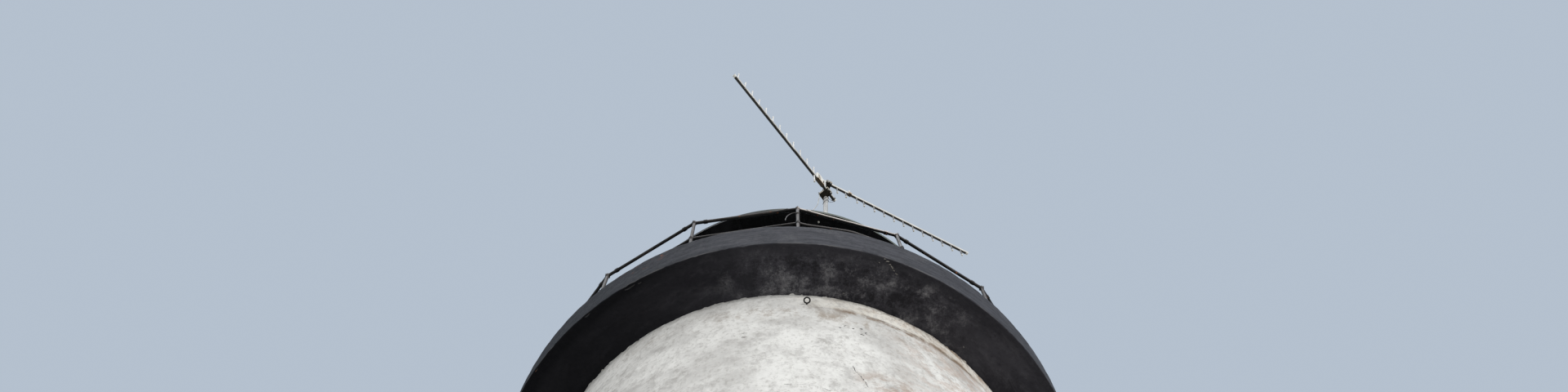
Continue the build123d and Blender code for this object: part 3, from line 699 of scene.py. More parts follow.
def make_finishes():
    """Every slot's finish, and the CAD nodes that take it."""
    white_wall_finish()
    black_slab_finish()
    # Bearing, half bay and level of the top rail's painted glint
    painted_rail_glint = (13, 10.4, DECK + TOP_RAIL)
    iron_paint_finish("black_rail", (14, 14, 15), (44, 42, 41), 0.3, 0.34, 0.06, painted_rail_glint)
    iron_paint_finish("black_lantern", (7, 7, 8), (20, 20, 22), 0.1, 0.45, -0.2, lit_rim=True)
    mast_finish()
    aluminium_finish("white_boom", (236, 235, 230), (206, 204, 198), 0.12)
    # The right aerial's rods take the painted shadow of their boom.
    aluminium_finish("rod_metal", (238, 238, 236), (206, 206, 204), 0.12, painted_shade_from=0.56)
    aluminium_finish("clamp_metal", (176, 166, 146), (108, 102, 88), 0.15)
    plastic_finish("white_plastic", (238, 238, 234), (196, 192, 182))
    # The mounts take painted shade on their undersides.
    plastic_finish("mount_plastic", (206, 184, 156), (136, 120, 98), underside_shade=0.9)
    plastic_finish("pale_cable", (186, 184, 176), (120, 116, 108))
    stone_finish()
    painted_wood_finish("door_paint", (24, 54, 48), (46, 78, 70), (142, 124, 98))
    painted_wood_finish("window_paint", (224, 223, 216), (188, 186, 178), (138, 124, 104))
    iron_finish()
    glass_finish()
    slots = {row["node"]: row["material_slot"] for row in frame["record"]["subparts"]}
    for name, node in NODES.items():
        node.data.materials.clear()
        node.data.materials.append(bpy.data.materials[slots[name]])


# Sizes and colours that a user would change


class TowerStage(PropertyGroup):
    """Camera, background and floor."""

    eye: FloatVectorProperty(
        name="Camera place", description="Where the photographer stood, in the tower's frame",
        default=(0.0, -6.72, 1.595), subtype="XYZ", unit="LENGTH",
    )
    pitch: FloatProperty(
        name="Camera tilt", description="Turn of the camera about X, from looking straight down",
        default=radians(165.03), subtype="ANGLE", unit="ROTATION",
    )
    lens: FloatProperty(
        name="Lens", description="Focal length on a 36 mm sensor, in millimetres", default=32.94,
    )
    side_shift: FloatProperty(
        name="Side shift", description="Camera shift in frame widths", default=-5 / 1920,
    )
    sky: FloatVectorProperty(
        name="Background", description="Plain pale colour behind the tower",
        default=(0.46, 0.53, 0.62), subtype="COLOR",
    )
    floor_radius: FloatProperty(
        name="Floor radius", description="Radius of the plain floor", default=70.0, unit="LENGTH",
    )


class TowerCoat(PropertyGroup):
    """White coat of the tower's wall."""

    head_radius: FloatProperty(
        name="Head radius", description="Radius of the wall just under the gallery",
        default=2.4, unit="LENGTH",
    )
    thickness: FloatProperty(
        name="Coat", description="Mean thickness of plaster and paint over the stones",
        default=0.0025, unit="LENGTH",
    )
    lumps: FloatProperty(
        name="Lumps", description="Depth of the wall's uneven surface", default=0.0035, unit="LENGTH",
    )
    head_band_foot: FloatProperty(
        name="Head band", description="Level of the lower edge of the thicker band under the gallery",
        default=13.86, unit="LENGTH",
    )
    columns: IntProperty(name="Columns", description="Upright strips round the wall", default=480)
    white: FloatVectorProperty(
        name="White", description="Lightest tone of the paint, as it shows on a screen, 0 to 255",
        default=(238, 238, 235),
    )


# Operators

# Each lamp's name, the way it shines, its strength and its width in degrees
LAMPS = (
    ("key", (-0.5, 0.86, -0.1), 1.7, 16),
    ("fill", (0.75, 0.5, -0.42), 0.25, 40),
    ("rim", (0.2, -0.9, -0.4), 0.8, 30),
    ("top", (0.1, 0.2, -1.0), 0.6, 40),
)
WORLD_STRENGTH = 0.36


class TOWER_OT_stage(Operator):
    """Camera at the photograph's viewing angle, pale floor and soft studio light"""

    bl_idname = "tower.stage"
    bl_label = "Stage"

    def execute(self, context):
        scene = context.scene
        stage = scene.tower_stage
        scene.view_settings.view_transform = "Standard"
        lens = bpy.data.cameras.new("photo_camera")
        lens.lens = stage.lens
        lens.shift_x = stage.side_shift
        lens.clip_end = 400
        camera = add_object("photo_camera", lens)
        camera.location = stage.eye
        camera.rotation_euler = (stage.pitch, 0, 0)
        scene.camera = camera

        world = bpy.data.worlds.new("studio")
        world.use_nodes = True
        scene.world = world
        nodes = Nodes(world.node_tree)
        seen_by = [nodes.node("ShaderNodeLightPath", output=f"Is {ray} Ray")
                   for ray in ("Camera", "Glossy", "Transmission")]
        white = {"Color": (1, 1, 1, 1), "Strength": WORLD_STRENGTH}
        light = nodes.node("ShaderNodeBackground", sockets=white)
        backdrop = nodes.node("ShaderNodeBackground", sockets={"Color": (*stage.sky, 1)})
        seen = seen_by[0].most(seen_by[1]).most(seen_by[2])
        choice = nodes.node("ShaderNodeMixShader", sockets={0: seen, 1: light, 2: backdrop})
        nodes.tree.links.new(choice.socket, nodes.tree.nodes["World Output"].inputs["Surface"])

        for name, towards, strength, width in LAMPS:
            lamp = bpy.data.lights.new(name, "SUN")
            lamp.energy = strength
            lamp.angle = radians(width)
            holder = add_object(name, lamp)
            holder.rotation_mode = "QUATERNION"
            holder.rotation_quaternion = Vector(towards).to_track_quat("-Z", "Y")

        bm = bmesh.new()
        bmesh.ops.create_circle(bm, cap_ends=True, segments=96, radius=stage.floor_radius)
        mesh = bpy.data.meshes.new("floor")
        bm.to_mesh(mesh)
        bm.free()
        floor = add_object("floor", mesh)
        pale = Finish("studio_floor", {"Roughness": 0.9})
        grain = pale.cloud(0.6, 3.0, 0.5)
        mesh.materials.append(pale.paint(pale.layers((230, 230, 228), (grain, (236, 236, 234)))))
        return {"FINISHED"}


class TOWER_OT_finishes(Operator):
    """Paint, metal, stone and glass for every slot"""

    bl_idname = "tower.finishes"
    bl_label = "Finishes"

    def execute(self, context):
        make_finishes()
        return {"FINISHED"}


def window_places():
    """Each window's bearing, half width, low and high level and front, from the solids of the frames."""
    groups = {}
    for vert in NODES["window_frames"].data.vertices:
        bearing = round(degrees(atan2(vert.co.y, vert.co.x)) / 90) * 90 % 360
        groups.setdefault(bearing, []).append(vert.co)
    places = []
    for bearing, points in sorted(groups.items()):
        outward, sideways = directions(bearing)
        half = max(abs(point.dot(sideways)) for point in points)
        levels = [point.z for point in points]
        places.append((bearing, half, min(levels), max(levels), max(point.dot(outward) for point in points)))
    return places


class TOWER_OT_wall_coat(Operator):
    """White coat over the whole wall, uneven as laid by hand, cut round the doorway and windows"""

    bl_idname = "tower.wall_coat"
    bl_label = "Wall coat"

    # Rows of the coat are close together only in the stretch that the photograph shows
    COARSE_ROW, FINE_ROW, FINE_FROM = 0.165, 0.0165, 11.7

    def execute(self, context):
        coat = context.scene.tower_coat
        columns = coat.columns
        door_low, door_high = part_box("door_frame")
        openings = [(FRONT, (door_high.x - door_low.x) / 2, WALL_FOOT, door_high.z)]
        openings += [place[:4] for place in window_places()]
        skipped = set()
        points = []
        for row, level in enumerate(self.levels(coat.head_band_foot + 0.02, openings)):
            bearings = around(columns)
            for middle, half, low, high in openings:
                if not low <= level <= high:
                    continue
                mean_spread = degrees(asin(half / wall_radius((low + high) / 2)))
                left = round((middle - mean_spread) * columns / 360)
                right = round((middle + mean_spread) * columns / 360)
                spread = degrees(asin(half / wall_radius(level)))
                bearings[left % columns] = middle - spread
                bearings[right % columns] = middle + spread
                if level < high:
                    skipped.update((row, column % columns) for column in range(left, right))
            points += [coat_face(bearing, level) for bearing in bearings]
        bm = bmesh.new()
        made = [bm.verts.new(point) for point in points]
        for number, quad in enumerate(grid_quads(len(points) // columns, columns)):
            if divmod(number, columns) not in skipped:
                bm.faces.new([made[corner] for corner in quad])
        bmesh.ops.delete(bm, geom=[vert for vert in bm.verts if not vert.link_faces], context="VERTS")
        fold_in(bm)
        finish_piece("wall_coat", bm, "white_wall", sharp=50)
        return {"FINISHED"}

    def levels(self, head, openings):
        """Levels of the coat's rows, of which the nearest move to each opening's foot and head."""
        levels = []
        level = WALL_FOOT
        while level < head:
            levels.append(level)
            level += self.COARSE_ROW if level < self.FINE_FROM else self.FINE_ROW
        for _, _, low, high in openings:
            for edge in (low, high):
                nearest = min(range(len(levels)), key=lambda row: abs(levels[row] - edge))
                levels[nearest] = edge
        return levels


class TOWER_OT_head_band(Operator):
    """Thicker band of plaster under the gallery, with its flaked and ragged upper edge"""

    bl_idname = "tower.head_band"
    bl_label = "Head band"

    def execute(self, context):
        coat = context.scene.tower_coat
        columns, rows = 1500, 30
        points = []
        for share in [row / rows for row in range(rows + 1)]:
            for bearing in around(columns):
                unit = polar(bearing, 1, 0)
                bite = max(0.0, rough((unit.x * 9, unit.y * 9, 0), 1.0, 5)) * 0.06
                nick = max(0.0, rough((unit.x * 60, unit.y * 60, 3), 1.0, 3)) * 0.016
                foot = coat.head_band_foot + rough((unit.x * 5, unit.y * 5, 9), 1.0, 4) * 0.03
                head = WALL_HEAD - 0.004 - bite * 0.5 - nick
                level = foot + (head - foot) * share
                face = polar(bearing, wall_radius(level), level)
                lump = rough((face.x, face.y, face.z * 2.5), 0.16, 5)
                flake = ease(rough((face.x, face.y, face.z * 1.5), 0.11, 4) + share * 0.42 - 0.62, 0.0, 0.05)
                swell = 0.0025 * ease(share, 0.0, 0.3)
                depth = coat_depth(bearing, level) + 0.001 + swell + 0.0035 * lump - flake * 0.005
                points.append(polar(bearing, wall_radius(level) + max(0.0015, depth), level))
        bm = bmesh.new()
        fill_grid(bm, points, columns)
        fold_in(bm)
        finish_piece("head_band", bm, "white_wall", sharp=60)
        return {"FINISHED"}


# Cracks and scars of the wall's coat, each as (turn to the right of the front, level) points
LONG_CRACK = ((12.08, 12.384), (12.52, 12.24), (13.08, 12.197), (13.7, 12.102), (14.17, 12.004),
              (14.37, 11.937))
LOW_CRACK = ((-0.71, 11.8), (2.14, 11.804), (4.71, 11.786), (6.39, 11.734), (7.37, 11.703))
FAINT_CRACKS = (
    ((11.88, 13.153), (14.98, 13.19), (18.01, 13.243), (20.26, 13.225), (22.96, 13.153)),
    ((18.76, 12.905), (20.82, 12.907), (22.1, 12.86)),
)
SCAR = ((10.4, 13.343), (12.01, 13.407), (13.56, 13.406), (15.13, 13.41), (16.07, 13.339), (15.29, 13.278),
        (14.24, 13.266))


class TOWER_OT_wall_marks(Operator):
    """Cracks with their lifted lips, a scar of lost paint, and paint brushed on to the slab's underside"""

    bl_idname = "tower.wall_marks"
    bl_label = "Wall marks"

    # Distance between a crack's points, and how far they stray from its line
    SPACING, WANDER = 0.012, 0.012

    def execute(self, context):
        cracks = bmesh.new()
        lips = bmesh.new()
        self.crack(cracks, LONG_CRACK, 0.008)
        self.crack(cracks, LOW_CRACK, 0.007)
        for line in (LONG_CRACK, LOW_CRACK, *FAINT_CRACKS, SCAR):
            self.lip(lips, line)
        draw = random.Random(11)
        for turn, level in SCAR[:6]:
            for _ in range(2):
                spot = (turn + draw.uniform(-0.5, 0.5), level + draw.uniform(-0.02, 0.02))
                end = (spot[0] + draw.uniform(0.25, 0.6), spot[1] + draw.uniform(-0.012, 0.012))
                self.crack(cracks, (spot, end), draw.uniform(0.006, 0.01))
        finish_piece("wall_cracks", cracks, "black_slab", sharp=60)
        finish_piece("crack_lips", lips, "white_wall", sharp=60)
        self.fringe()
        return {"FINISHED"}

    def stations(self, line):
        """Points every few millimetres along a line on the wall, set off it by a ragged wander."""
        path = []
        for (turn, level), (next_turn, next_level) in zip(line, line[1:]):
            run = (coat_face(FRONT + next_turn, next_level) - coat_face(FRONT + turn, level)).length
            count = max(2, round(run / self.SPACING))
            for share in [step / count for step in range(count)]:
                path.append((turn + (next_turn - turn) * share, level + (next_level - level) * share))
        ragged = []
        for turn, level in [*path, line[-1]]:
            aside = rough((turn * 0.35, level * 6, 2), 0.2, 4) * self.WANDER * 14
            ragged.append((turn + aside, level + rough((turn, level * 4, 8), 0.25, 4) * self.WANDER))
        return ragged

    def strip(self, bm, line, section):
        """A strip along a line on the wall: its section depends on the place and the share left to an end."""
        spots = self.stations(line)
        last = len(spots) - 1
        sections = []
        for number, (turn, level) in enumerate(spots):
            share = number / last
            sections.append(section(turn, level, min(share, 1 - share)))
        path = [coat_face(FRONT + turn, level) for turn, level in spots]
        outs = [polar(FRONT + turn, 1, 0) for turn, _ in spots]
        add_strip(bm, path, outs, sections)

    def crack(self, bm, line, width):
        """A dark gap in the coat, that thins out at both ends."""
        def section(turn, level, to_end):
            half = width * min(1, 0.12 + 4 * to_end) * (0.75 + 0.6 * rough((turn, level * 3, 5), 0.3, 3))
            half = max(0.0006, half)
            return [(-half, -0.004), (-half * 0.6, 0.0016), (half * 0.6, 0.0016), (half, -0.004)]
        self.strip(bm, line, section)

    def lip(self, bm, line):
        """The edge of the coat beside a crack, lifted so that it catches the light."""
        def section(turn, level, to_end):
            size = min(1, 0.1 + 5 * to_end) * (0.7 + 0.7 * abs(rough((turn, level * 5, 1), 0.3, 3)))
            crest = 0.0055 * size
            return [(0.005, -0.004), (0.006, crest), (0.011, crest * 0.9), (0.011 + 0.024 * size, -0.004)]
        self.strip(bm, line, section)

    @staticmethod
    def fringe():
        """White paint that the brush has left on the slab's underside, round the wall's head."""
        columns = 1800
        foot, head = WALL_HEAD - 0.0024, WALL_HEAD + 0.004
        root = wall_radius(WALL_HEAD)
        rings = [[], [], []]
        for bearing in around(columns):
            unit = polar(bearing, 1, 0)
            broad = rough((unit.x * 5, unit.y * 5, 2), 1.0, 2)
            ragged = rough((unit.x * 34, unit.y * 34, 1), 1.0, 5) + 0.5 * broad
            reach = root - 0.003 + 0.024 * max(0.0, ragged)
            for ring, radius, level in zip(rings, (root - 0.004, reach, reach + 0.0005), (foot, foot, head)):
                ring.append(polar(bearing, radius, level))
        bm = bmesh.new()
        fill_grid(bm, [point for ring in rings for point in ring], columns)
        finish_piece("paint_fringe", bm, "white_wall", sharp=60)


# Loose paint under the slab: each turn to the right of the front, radius and size
CURLS = ((-30.6, 2.878, (0.11, 0.012), 0.016), (-28.6, 2.87, (0.04, 0.01), 0.01),
         (-40.3, 2.888, (0.07, 0.008), 0.01), (-55.0, 2.888, (0.04, 0.008), 0.006))
SCABS = ((18.0, 2.888, 0.01), (18.6, 2.872, 0.016), (19.2, 2.852, 0.012), (19.7, 2.832, 0.018),
         (20.3, 2.81, 0.01), (21.0, 2.786, 0.014), (17.2, 2.84, 0.008), (12.0, 2.47, 0.008),
         (41.0, 2.5, 0.01))


class TOWER_OT_gallery(Operator):
    """Gallery slab with its uneven black faces, chipped arrises and flaked lower edge"""

    bl_idname = "tower.gallery"
    bl_label = "Gallery slab"

    # How far the slab's edges are eased
    EDGE = 0.012

    def execute(self, context):
        edge = self.EDGE
        tall = DECK - WALL_HEAD
        stations = [(0.001, DECK), (0.9, DECK), (1.7, DECK)]
        stations += [(1.7 + 0.06 * step, DECK) for step in range(1, 19)]
        stations += [(SLAB_RADIUS - 0.05, DECK), (SLAB_RADIUS - edge * 1.6, DECK)]
        stations += [(SLAB_RADIUS - edge * 0.5, DECK - edge * 0.4)]
        stations += [(SLAB_RADIUS, DECK - edge - (tall - 2 * edge) * step / 26) for step in range(27)]
        stations += [(SLAB_RADIUS - edge * 0.4, WALL_HEAD + edge * 0.35)]
        stations += [(SLAB_RADIUS - edge * 1.3, WALL_HEAD)]
        stations += [(SLAB_RADIUS - 0.03 - 0.02 * step, WALL_HEAD) for step in range(27)]
        stations += [(2.2, WALL_HEAD), (1.0, WALL_HEAD), (0.001, WALL_HEAD)]
        slab = finish_piece("gallery_surface", worn_form(stations, 1000, self.worn), "black_slab", sharp=60)
        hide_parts("gallery_slab")
        self.curls()
        self.scabs()
        return {"FINISHED"}

    def worn(self, place, radius, level):
        """Where a point of the slab's surface ends up, as a radius and a level."""
        broad = rough(place, 0.8, 3) * 0.004
        small = rough(place, 0.09, 4) * 0.0022
        to_low = hypot(SLAB_RADIUS - radius, level - WALL_HEAD)
        to_high = hypot(SLAB_RADIUS - radius, level - DECK)
        chip = max(0.0, rough((place.x, place.y, 0), 0.09, 4) - 0.1)
        loss = chip * (0.014 * (1 - ease(to_low, 0.0, 0.05)) + 0.012 * (1 - ease(to_high, 0.0, 0.03)))
        if radius >= SLAB_RADIUS - self.EDGE * 2 and WALL_HEAD < level < DECK:
            return radius + broad + small - loss - 0.003, level
        if level >= DECK - self.EDGE:
            return radius - loss, level - abs(small) - loss * 0.4
        return radius - loss * 0.6, level + abs(broad) * 0.5 + small * 0.4 + loss

    @staticmethod
    def curls():
        """Strips of paint that hang off the slab's underside near its edge."""
        bm = bmesh.new()
        for turn, radius, size, lift in CURLS:
            outward, sideways = directions(FRONT + turn)
            add_flake(bm, polar(FRONT + turn, radius, WALL_HEAD - 0.0005), sideways, -outward, size, lift)
        finish_piece("paint_curls", bm, "black_rail")

    @staticmethod
    def scabs():
        """Pale scabs where paint has come away from the slab's underside."""
        bm = bmesh.new()
        draw = random.Random(23)
        for turn, radius, size in SCABS:
            outward, sideways = directions(FRONT + turn)
            skew = (sideways + outward * draw.uniform(-0.9, 0.3)).normalized()
            hinge = polar(FRONT + turn, radius, WALL_HEAD + 0.0002)
            add_flake(bm, hinge, skew, DOWN.cross(skew), (size * 2, size * 0.7), 0.003, 0.0022)
        finish_piece("loose_paint", bm, "step_stone", sharp=60)


def solids(node):
    """The points of each separate solid in a CAD node, joined where the frame split them."""
    bm = bmesh.new()
    bm.from_mesh(NODES[node].data)
    bmesh.ops.remove_doubles(bm, verts=bm.verts, dist=1e-5)
    bm.verts.ensure_lookup_table()
    seen = set()
    found = []
    for start in bm.verts:
        if start.index in seen:
            continue
        seen.add(start.index)
        waiting = [start]
        points = []
        while waiting:
            vert = waiting.pop()
            points.append(vert.co.copy())
            for edge in vert.link_edges:
                other = edge.other_vert(vert)
                if other.index not in seen:
                    seen.add(other.index)
                    waiting.append(other)
        found.append(points)
    bm.free()
    return found


def middle_of(points):
    """Middle of the box round some points."""
    low = Vector(min(point[axis] for point in points) for axis in range(3))
    high = Vector(max(point[axis] for point in points) for axis in range(3))
    return (low + high) / 2


def long_axis(points):
    """The two end points of a long straight bar's axis."""
    far = max(points, key=lambda point: (point - points[0]).length)
    near = max(points, key=lambda point: (point - far).length)
    along = (near - far).normalized()
    ends = [point for point in points if (point - far).dot(along) < 0.03]
    others = [point for point in points if (near - point).dot(along) < 0.03]
    return middle_of(ends), middle_of(others)


def post_axes():
    """Foot and head of every railing post's axis, by bearing."""
    axes = []
    for points in solids("rail_posts"):
        foot = middle_of([point for point in points if point.z < DECK + 0.013])
        head = middle_of([point for point in points if point.z > DECK + 1.02])
        axes.append((Vector((foot.x, foot.y, DECK)), Vector((head.x, head.y, DECK + TOP_RAIL))))
    return sorted(axes, key=lambda axis: atan2(axis[0].y, axis[0].x))


class TOWER_OT_rail_fittings(Operator):
    """Bolts of the posts' feet, grub screws in the ball joints, and the bent wire on the middle post"""

    bl_idname = "tower.rail_fittings"
    bl_label = "Railing fittings"

    def execute(self, context):
        bm = bmesh.new()
        for foot, head in post_axes():
            self.post(bm, foot, (head - foot).normalized())
        finish_piece("rail_fittings", bm, "black_rail", sharp=35)
        self.bent_wire()
        return {"FINISHED"}

    @staticmethod
    def post(bm, foot, upward):
        """Nuts and collar of one post's foot, and the necks and grub screws of its two ball joints."""
        outward, sideways = out_from_axis(foot)
        bolt_circle, flange = 0.044, 0.0115
        for turn in range(4):
            angle = pi / 4 + pi * turn / 2
            seat = foot + (outward * cos(angle) + sideways * sin(angle)) * bolt_circle + UP * flange
            add_turned(bm, seat, UP, FOOT_WASHER, 16)
            add_turned(bm, seat + UP * 0.0026, UP, FOOT_NUT, 6)
            add_turned(bm, seat + UP * 0.01, UP, FOOT_THREAD, 10)
        add_turned(bm, foot + upward * 0.012, upward, POST_COLLAR, 24)
        for height in (LOWER_RAIL, TOP_RAIL):
            ball = foot + upward * (height / upward.z)
            for side in (-1, 1):
                add_turned(bm, ball + outward * (0.024 * side), outward * side, GRUB_SCREW, 6)
            for neck in (-0.034, 0.024):
                add_turned(bm, ball + upward * neck, upward, BALL_NECK, 20)

    @staticmethod
    def bent_wire():
        """A wire tied to the post nearest the middle, that bends off to the left."""
        wire = bmesh.new()
        foot, _ = min(post_axes(), key=lambda axis: abs(degrees(atan2(axis[0].y, axis[0].x)) + 88))
        outward, right = out_from_axis(foot)
        left = -right
        start = foot + outward * 0.02 + UP * 0.815
        route = []
        for share in [step / 24 for step in range(25)]:
            reach = 0.125 * sin(share * pi / 2) ** 0.8
            route.append(start + left * reach - UP * (0.315 * (share ** 1.6)))
        add_tube(wire, route, 0.0045, 8)
        pitch = 0.006
        for turn in range(5):
            tie = foot + UP * (0.807 + pitch * turn)
            ring = circle(tie, outward, left, 0.0195, 24)
            ring.append(ring[0])
            add_tube(wire, [point + UP * (pitch * step / 24) for step, point in enumerate(ring)], 0.003, 6)
        finish_piece("bent_wire", wire, "black_rail")


class TOWER_OT_aerials(Operator):
    """Caps, open boom ends, clamp bolts and the wire wound round the mast, on the two aerials"""

    bl_idname = "tower.aerials"
    bl_label = "Aerial fittings"

    def execute(self, context):
        shafts = [sorted(long_axis(points), key=lambda end: end.z) for points in solids("mast")]
        mast_foot, mast_head = min(shafts, key=lambda ends: ends[0].z)
        upward = (mast_head - mast_foot).normalized()
        booms = sorted((long_axis(points) for points in solids("aerial_booms")), key=lambda ends: ends[0].z)
        booms = [sorted(ends, key=lambda end: (end - mast_head).length) for ends in booms]
        self.caps(booms)
        self.bolts(booms, mast_foot, upward)
        self.wires(booms[0], mast_foot, upward)
        return {"FINISHED"}

    @staticmethod
    def caps(booms):
        """Bulbous caps on the rods' far ends, plain caps on the others, and the booms' open ends."""
        caps = bmesh.new()
        for points in solids("aerial_rods"):
            middle = middle_of(points)
            low = min(point.z for point in points)
            high = max(point.z for point in points)
            level = min((ends[0].z for ends in booms), key=lambda boom: max(0.0, low - boom, boom - high))
            for end, side in ((low, -1), (high, 1)):
                far = abs(end - level) > 0.1
                if far or side > 0:
                    profile = BULBOUS_CAP if far else PLAIN_CAP
                    add_turned(caps, (middle.x, middle.y, end), (0, 0, side), profile, 18)
        finish_piece("rod_caps", caps, "white_plastic", sharp=35)
        ends = bmesh.new()
        for tail, tip in booms:
            add_turned(ends, tail, tail - tip, BOOM_END, 28)
            add_turned(ends, tip, tip - tail, BOOM_END, 28)
        finish_piece("boom_ends", ends, "white_plastic", sharp=35)

    def bolts(self, booms, mast_foot, upward):
        """The U-bolts behind the mast, the clamps' bolts, and the bolts of the mast's foot."""
        irons = bmesh.new()
        clamps = sorted(solids("boom_clamps"), key=lambda points: points[0].z)
        for points, (tail, tip) in zip(clamps, booms):
            along = (tip - tail).normalized()
            middle = middle_of(points)
            post = mast_foot + upward * ((middle.z - mast_foot.z) / upward.z)
            across = Vector((-along.y, along.x, 0))
            if (tail - post).dot(across) < 0:
                across = -across
            low = min(point.z for point in points)
            high = max(point.z for point in points)
            reaches = [(point - post).dot(along) for point in points]
            front, back = max(reaches), min(reaches)
            aside = (tail - post).dot(across) + 0.029
            for share in (0.24, 0.76):
                seat = post + along * (back + (front - back) * share) + across * aside
                self.hex_bolt(irons, Vector((seat.x, seat.y, high)), UP)
                self.hex_bolt(irons, Vector((seat.x, seat.y, low)), DOWN)
            if points is clamps[0]:
                for rise in (-0.017, 0.017):
                    self.u_bolt(irons, post + UP * rise, across, along, front + 0.016)
        for turn in range(4):
            self.hex_bolt(irons, mast_foot + polar(45 + 90 * turn, 0.052, 0.012), UP)
        finish_piece("clamp_bolts", irons, "grey_mast", sharp=40)

    @staticmethod
    def nut(bm, seat, out, sunk, washer):
        """A hexagon nut on its washer, which is sunk a little into what it holds."""
        add_turned(bm, seat - out * sunk, out, [(0, 0.0085), (washer, 0.0085)], 20)
        add_turned(bm, seat + out * (washer - sunk), out, NUT, 6)

    def hex_bolt(self, bm, seat, out):
        """A washer, a hexagon nut and the bolt's end standing out of it."""
        self.nut(bm, seat, out, 0.001, 0.0026)
        add_turned(bm, seat + out * 0.007, out, BOLT_END, 12)

    def u_bolt(self, bm, centre, level, towards, leg):
        """A bolt bent round a tube: level is its side direction, and its legs' nuts lie towards the boom."""
        bend = 0.0342
        route = [centre + level * bend + towards * leg]
        for angle in [pi * step / 16 for step in range(17)]:
            route.append(centre + level * (bend * cos(angle)) - towards * (bend * sin(angle)))
        route.append(centre - level * bend + towards * leg)
        add_tube(bm, route, 0.0038, 10)
        for side in (-1, 1):
            self.nut(bm, centre + level * (bend * side) + towards * (leg - 0.016), towards, 0.0005, 0.002)

    @staticmethod
    def wires(lower_boom, mast_foot, upward):
        """Two slanted turns of black wire round the mast, tied off on the lower boom's tail."""
        wire = bmesh.new()
        tail, tip = lower_boom
        outward, sideways = out_from_axis(mast_foot)
        starts = []
        for height, slant in ((1.225, 0.085), (1.07, 0.08)):
            ring = []
            for angle in [2 * pi * step / 48 for step in range(49)]:
                post = mast_foot + upward * (height + slant * sin(angle))
                ring.append(post + (outward * cos(angle) + sideways * sin(angle)) * 0.0328)
            add_tube(wire, ring, 0.0034, 8)
            starts.append(ring[12])
        for start in starts:
            drop = tail - UP * 0.024 - start
            shares = [step / 14 for step in range(15)]
            route = [start + drop * share - UP * (0.05 * 4 * share * (1 - share)) for share in shares]
            add_tube(wire, route, 0.0026, 8)
        along = (tip - tail).normalized()
        side = along.cross(UP)
        knot = []
        for step in range(61):
            angle = 2 * pi * step / 20
            centre = tail + along * (0.012 + 0.006 * step / 20)
            knot.append(centre + (side * cos(angle) + UP * sin(angle)) * 0.0252)
        add_tube(wire, knot, 0.0028, 8)
        finish_piece("mast_wires", wire, "black_rail")


class TOWER_OT_roof_seams(Operator):
    """Standing seams of the dome, rivets of its skirt, the rim's rolled edge and its brackets"""

    bl_idname = "tower.roof_seams"
    bl_label = "Roof seams"

    def execute(self, context):
        profile = self.dome_line()
        self.seams(profile)
        self.rim_edge()
        rivets = bmesh.new()
        radius, level = profile[1]
        out, up = self.normal(profile, 1)
        for bearing in around(128):
            seat = polar(bearing, radius - 0.002 * out, level)
            add_turned(rivets, seat, polar(bearing, out, up), SKIRT_RIVET, 10)
        vent_radius = 0.19
        for bearing in around(24):
            for level in (19.28, 19.4):
                seat = polar(bearing, vent_radius - 0.002, level)
                add_turned(rivets, seat, polar(bearing, 1, 0), VENT_RIVET, 10)
        finish_piece("roof_rivets", rivets, "black_lantern", sharp=40)
        return {"FINISHED"}

    def seams(self, profile):
        """A standing seam up the dome between each pair of its sheets."""
        bm = bmesh.new()
        for bearing in around(16, first=11.25):
            sideways = polar(bearing + 90, 1, 0)
            rings = []
            for place, (radius, level) in enumerate(profile):
                base = polar(bearing, radius, level)
                outward = polar(bearing, *self.normal(profile, place))
                rings.append([bm.verts.new(base + sideways * across + outward * out) for across, out in SEAM])
            join_rings(bm, rings)
        finish_piece("roof_seams", bm, "black_lantern", sharp=40)

    @staticmethod
    def rim_edge():
        """The bead rolled round the rim, and the riveted brackets under it."""
        bm = bmesh.new()
        bead = 0.014
        rings = []
        for angle in [2 * pi * step / 12 for step in range(12)]:
            reach = RIM_RADIUS - bead - 0.001 + bead * cos(angle)
            level = RIM_TOP - 0.002 + bead * sin(angle)
            rings.append([bm.verts.new(polar(bearing, reach, level)) for bearing in range(360)])
        join_rings(bm, rings, looped=True)
        for bearing in around(32, first=5.6):
            outward, _ = directions(bearing)
            foot = polar(bearing, RIM_RADIUS - 0.16, RIM_LOW.z - 0.006)
            add_block(bm, foot, (0.26, 0.04, 0.012), outward, 0.002)
            for step in (-0.09, 0.03):
                add_turned(bm, foot + outward * step + DOWN * 0.005, DOWN, BRACKET_RIVET, 12)
        finish_piece("rim_edge", bm, "black_lantern", sharp=40)

    @staticmethod
    def dome_line():
        """Half section of the dome's outer face, from its foot to the crown, read from the frame."""
        reaches = {}
        for vert in NODES["lantern_roof"].data.vertices:
            level = round(vert.co.z, 3)
            reaches[level] = max(reaches.get(level, 0), hypot(vert.co.x, vert.co.y))
        outer = [(reaches[level], level) for level in sorted(reaches)]
        kept = [outer[0]]
        for radius, level in outer[1:]:
            if radius < kept[-1][0] + 1e-4 and hypot(radius - kept[-1][0], level - kept[-1][1]) > 0.06:
                kept.append((radius, level))
        return [(radius, level) for radius, level in kept if radius > 0.2]

    @staticmethod
    def normal(profile, place):
        """Outward direction of the dome's skin at a point of its half section."""
        before = profile[max(0, place - 1)]
        after = profile[min(len(profile) - 1, place + 1)]
        run, rise = after[0] - before[0], after[1] - before[1]
        length = hypot(run, rise)
        return rise / length, -run / length


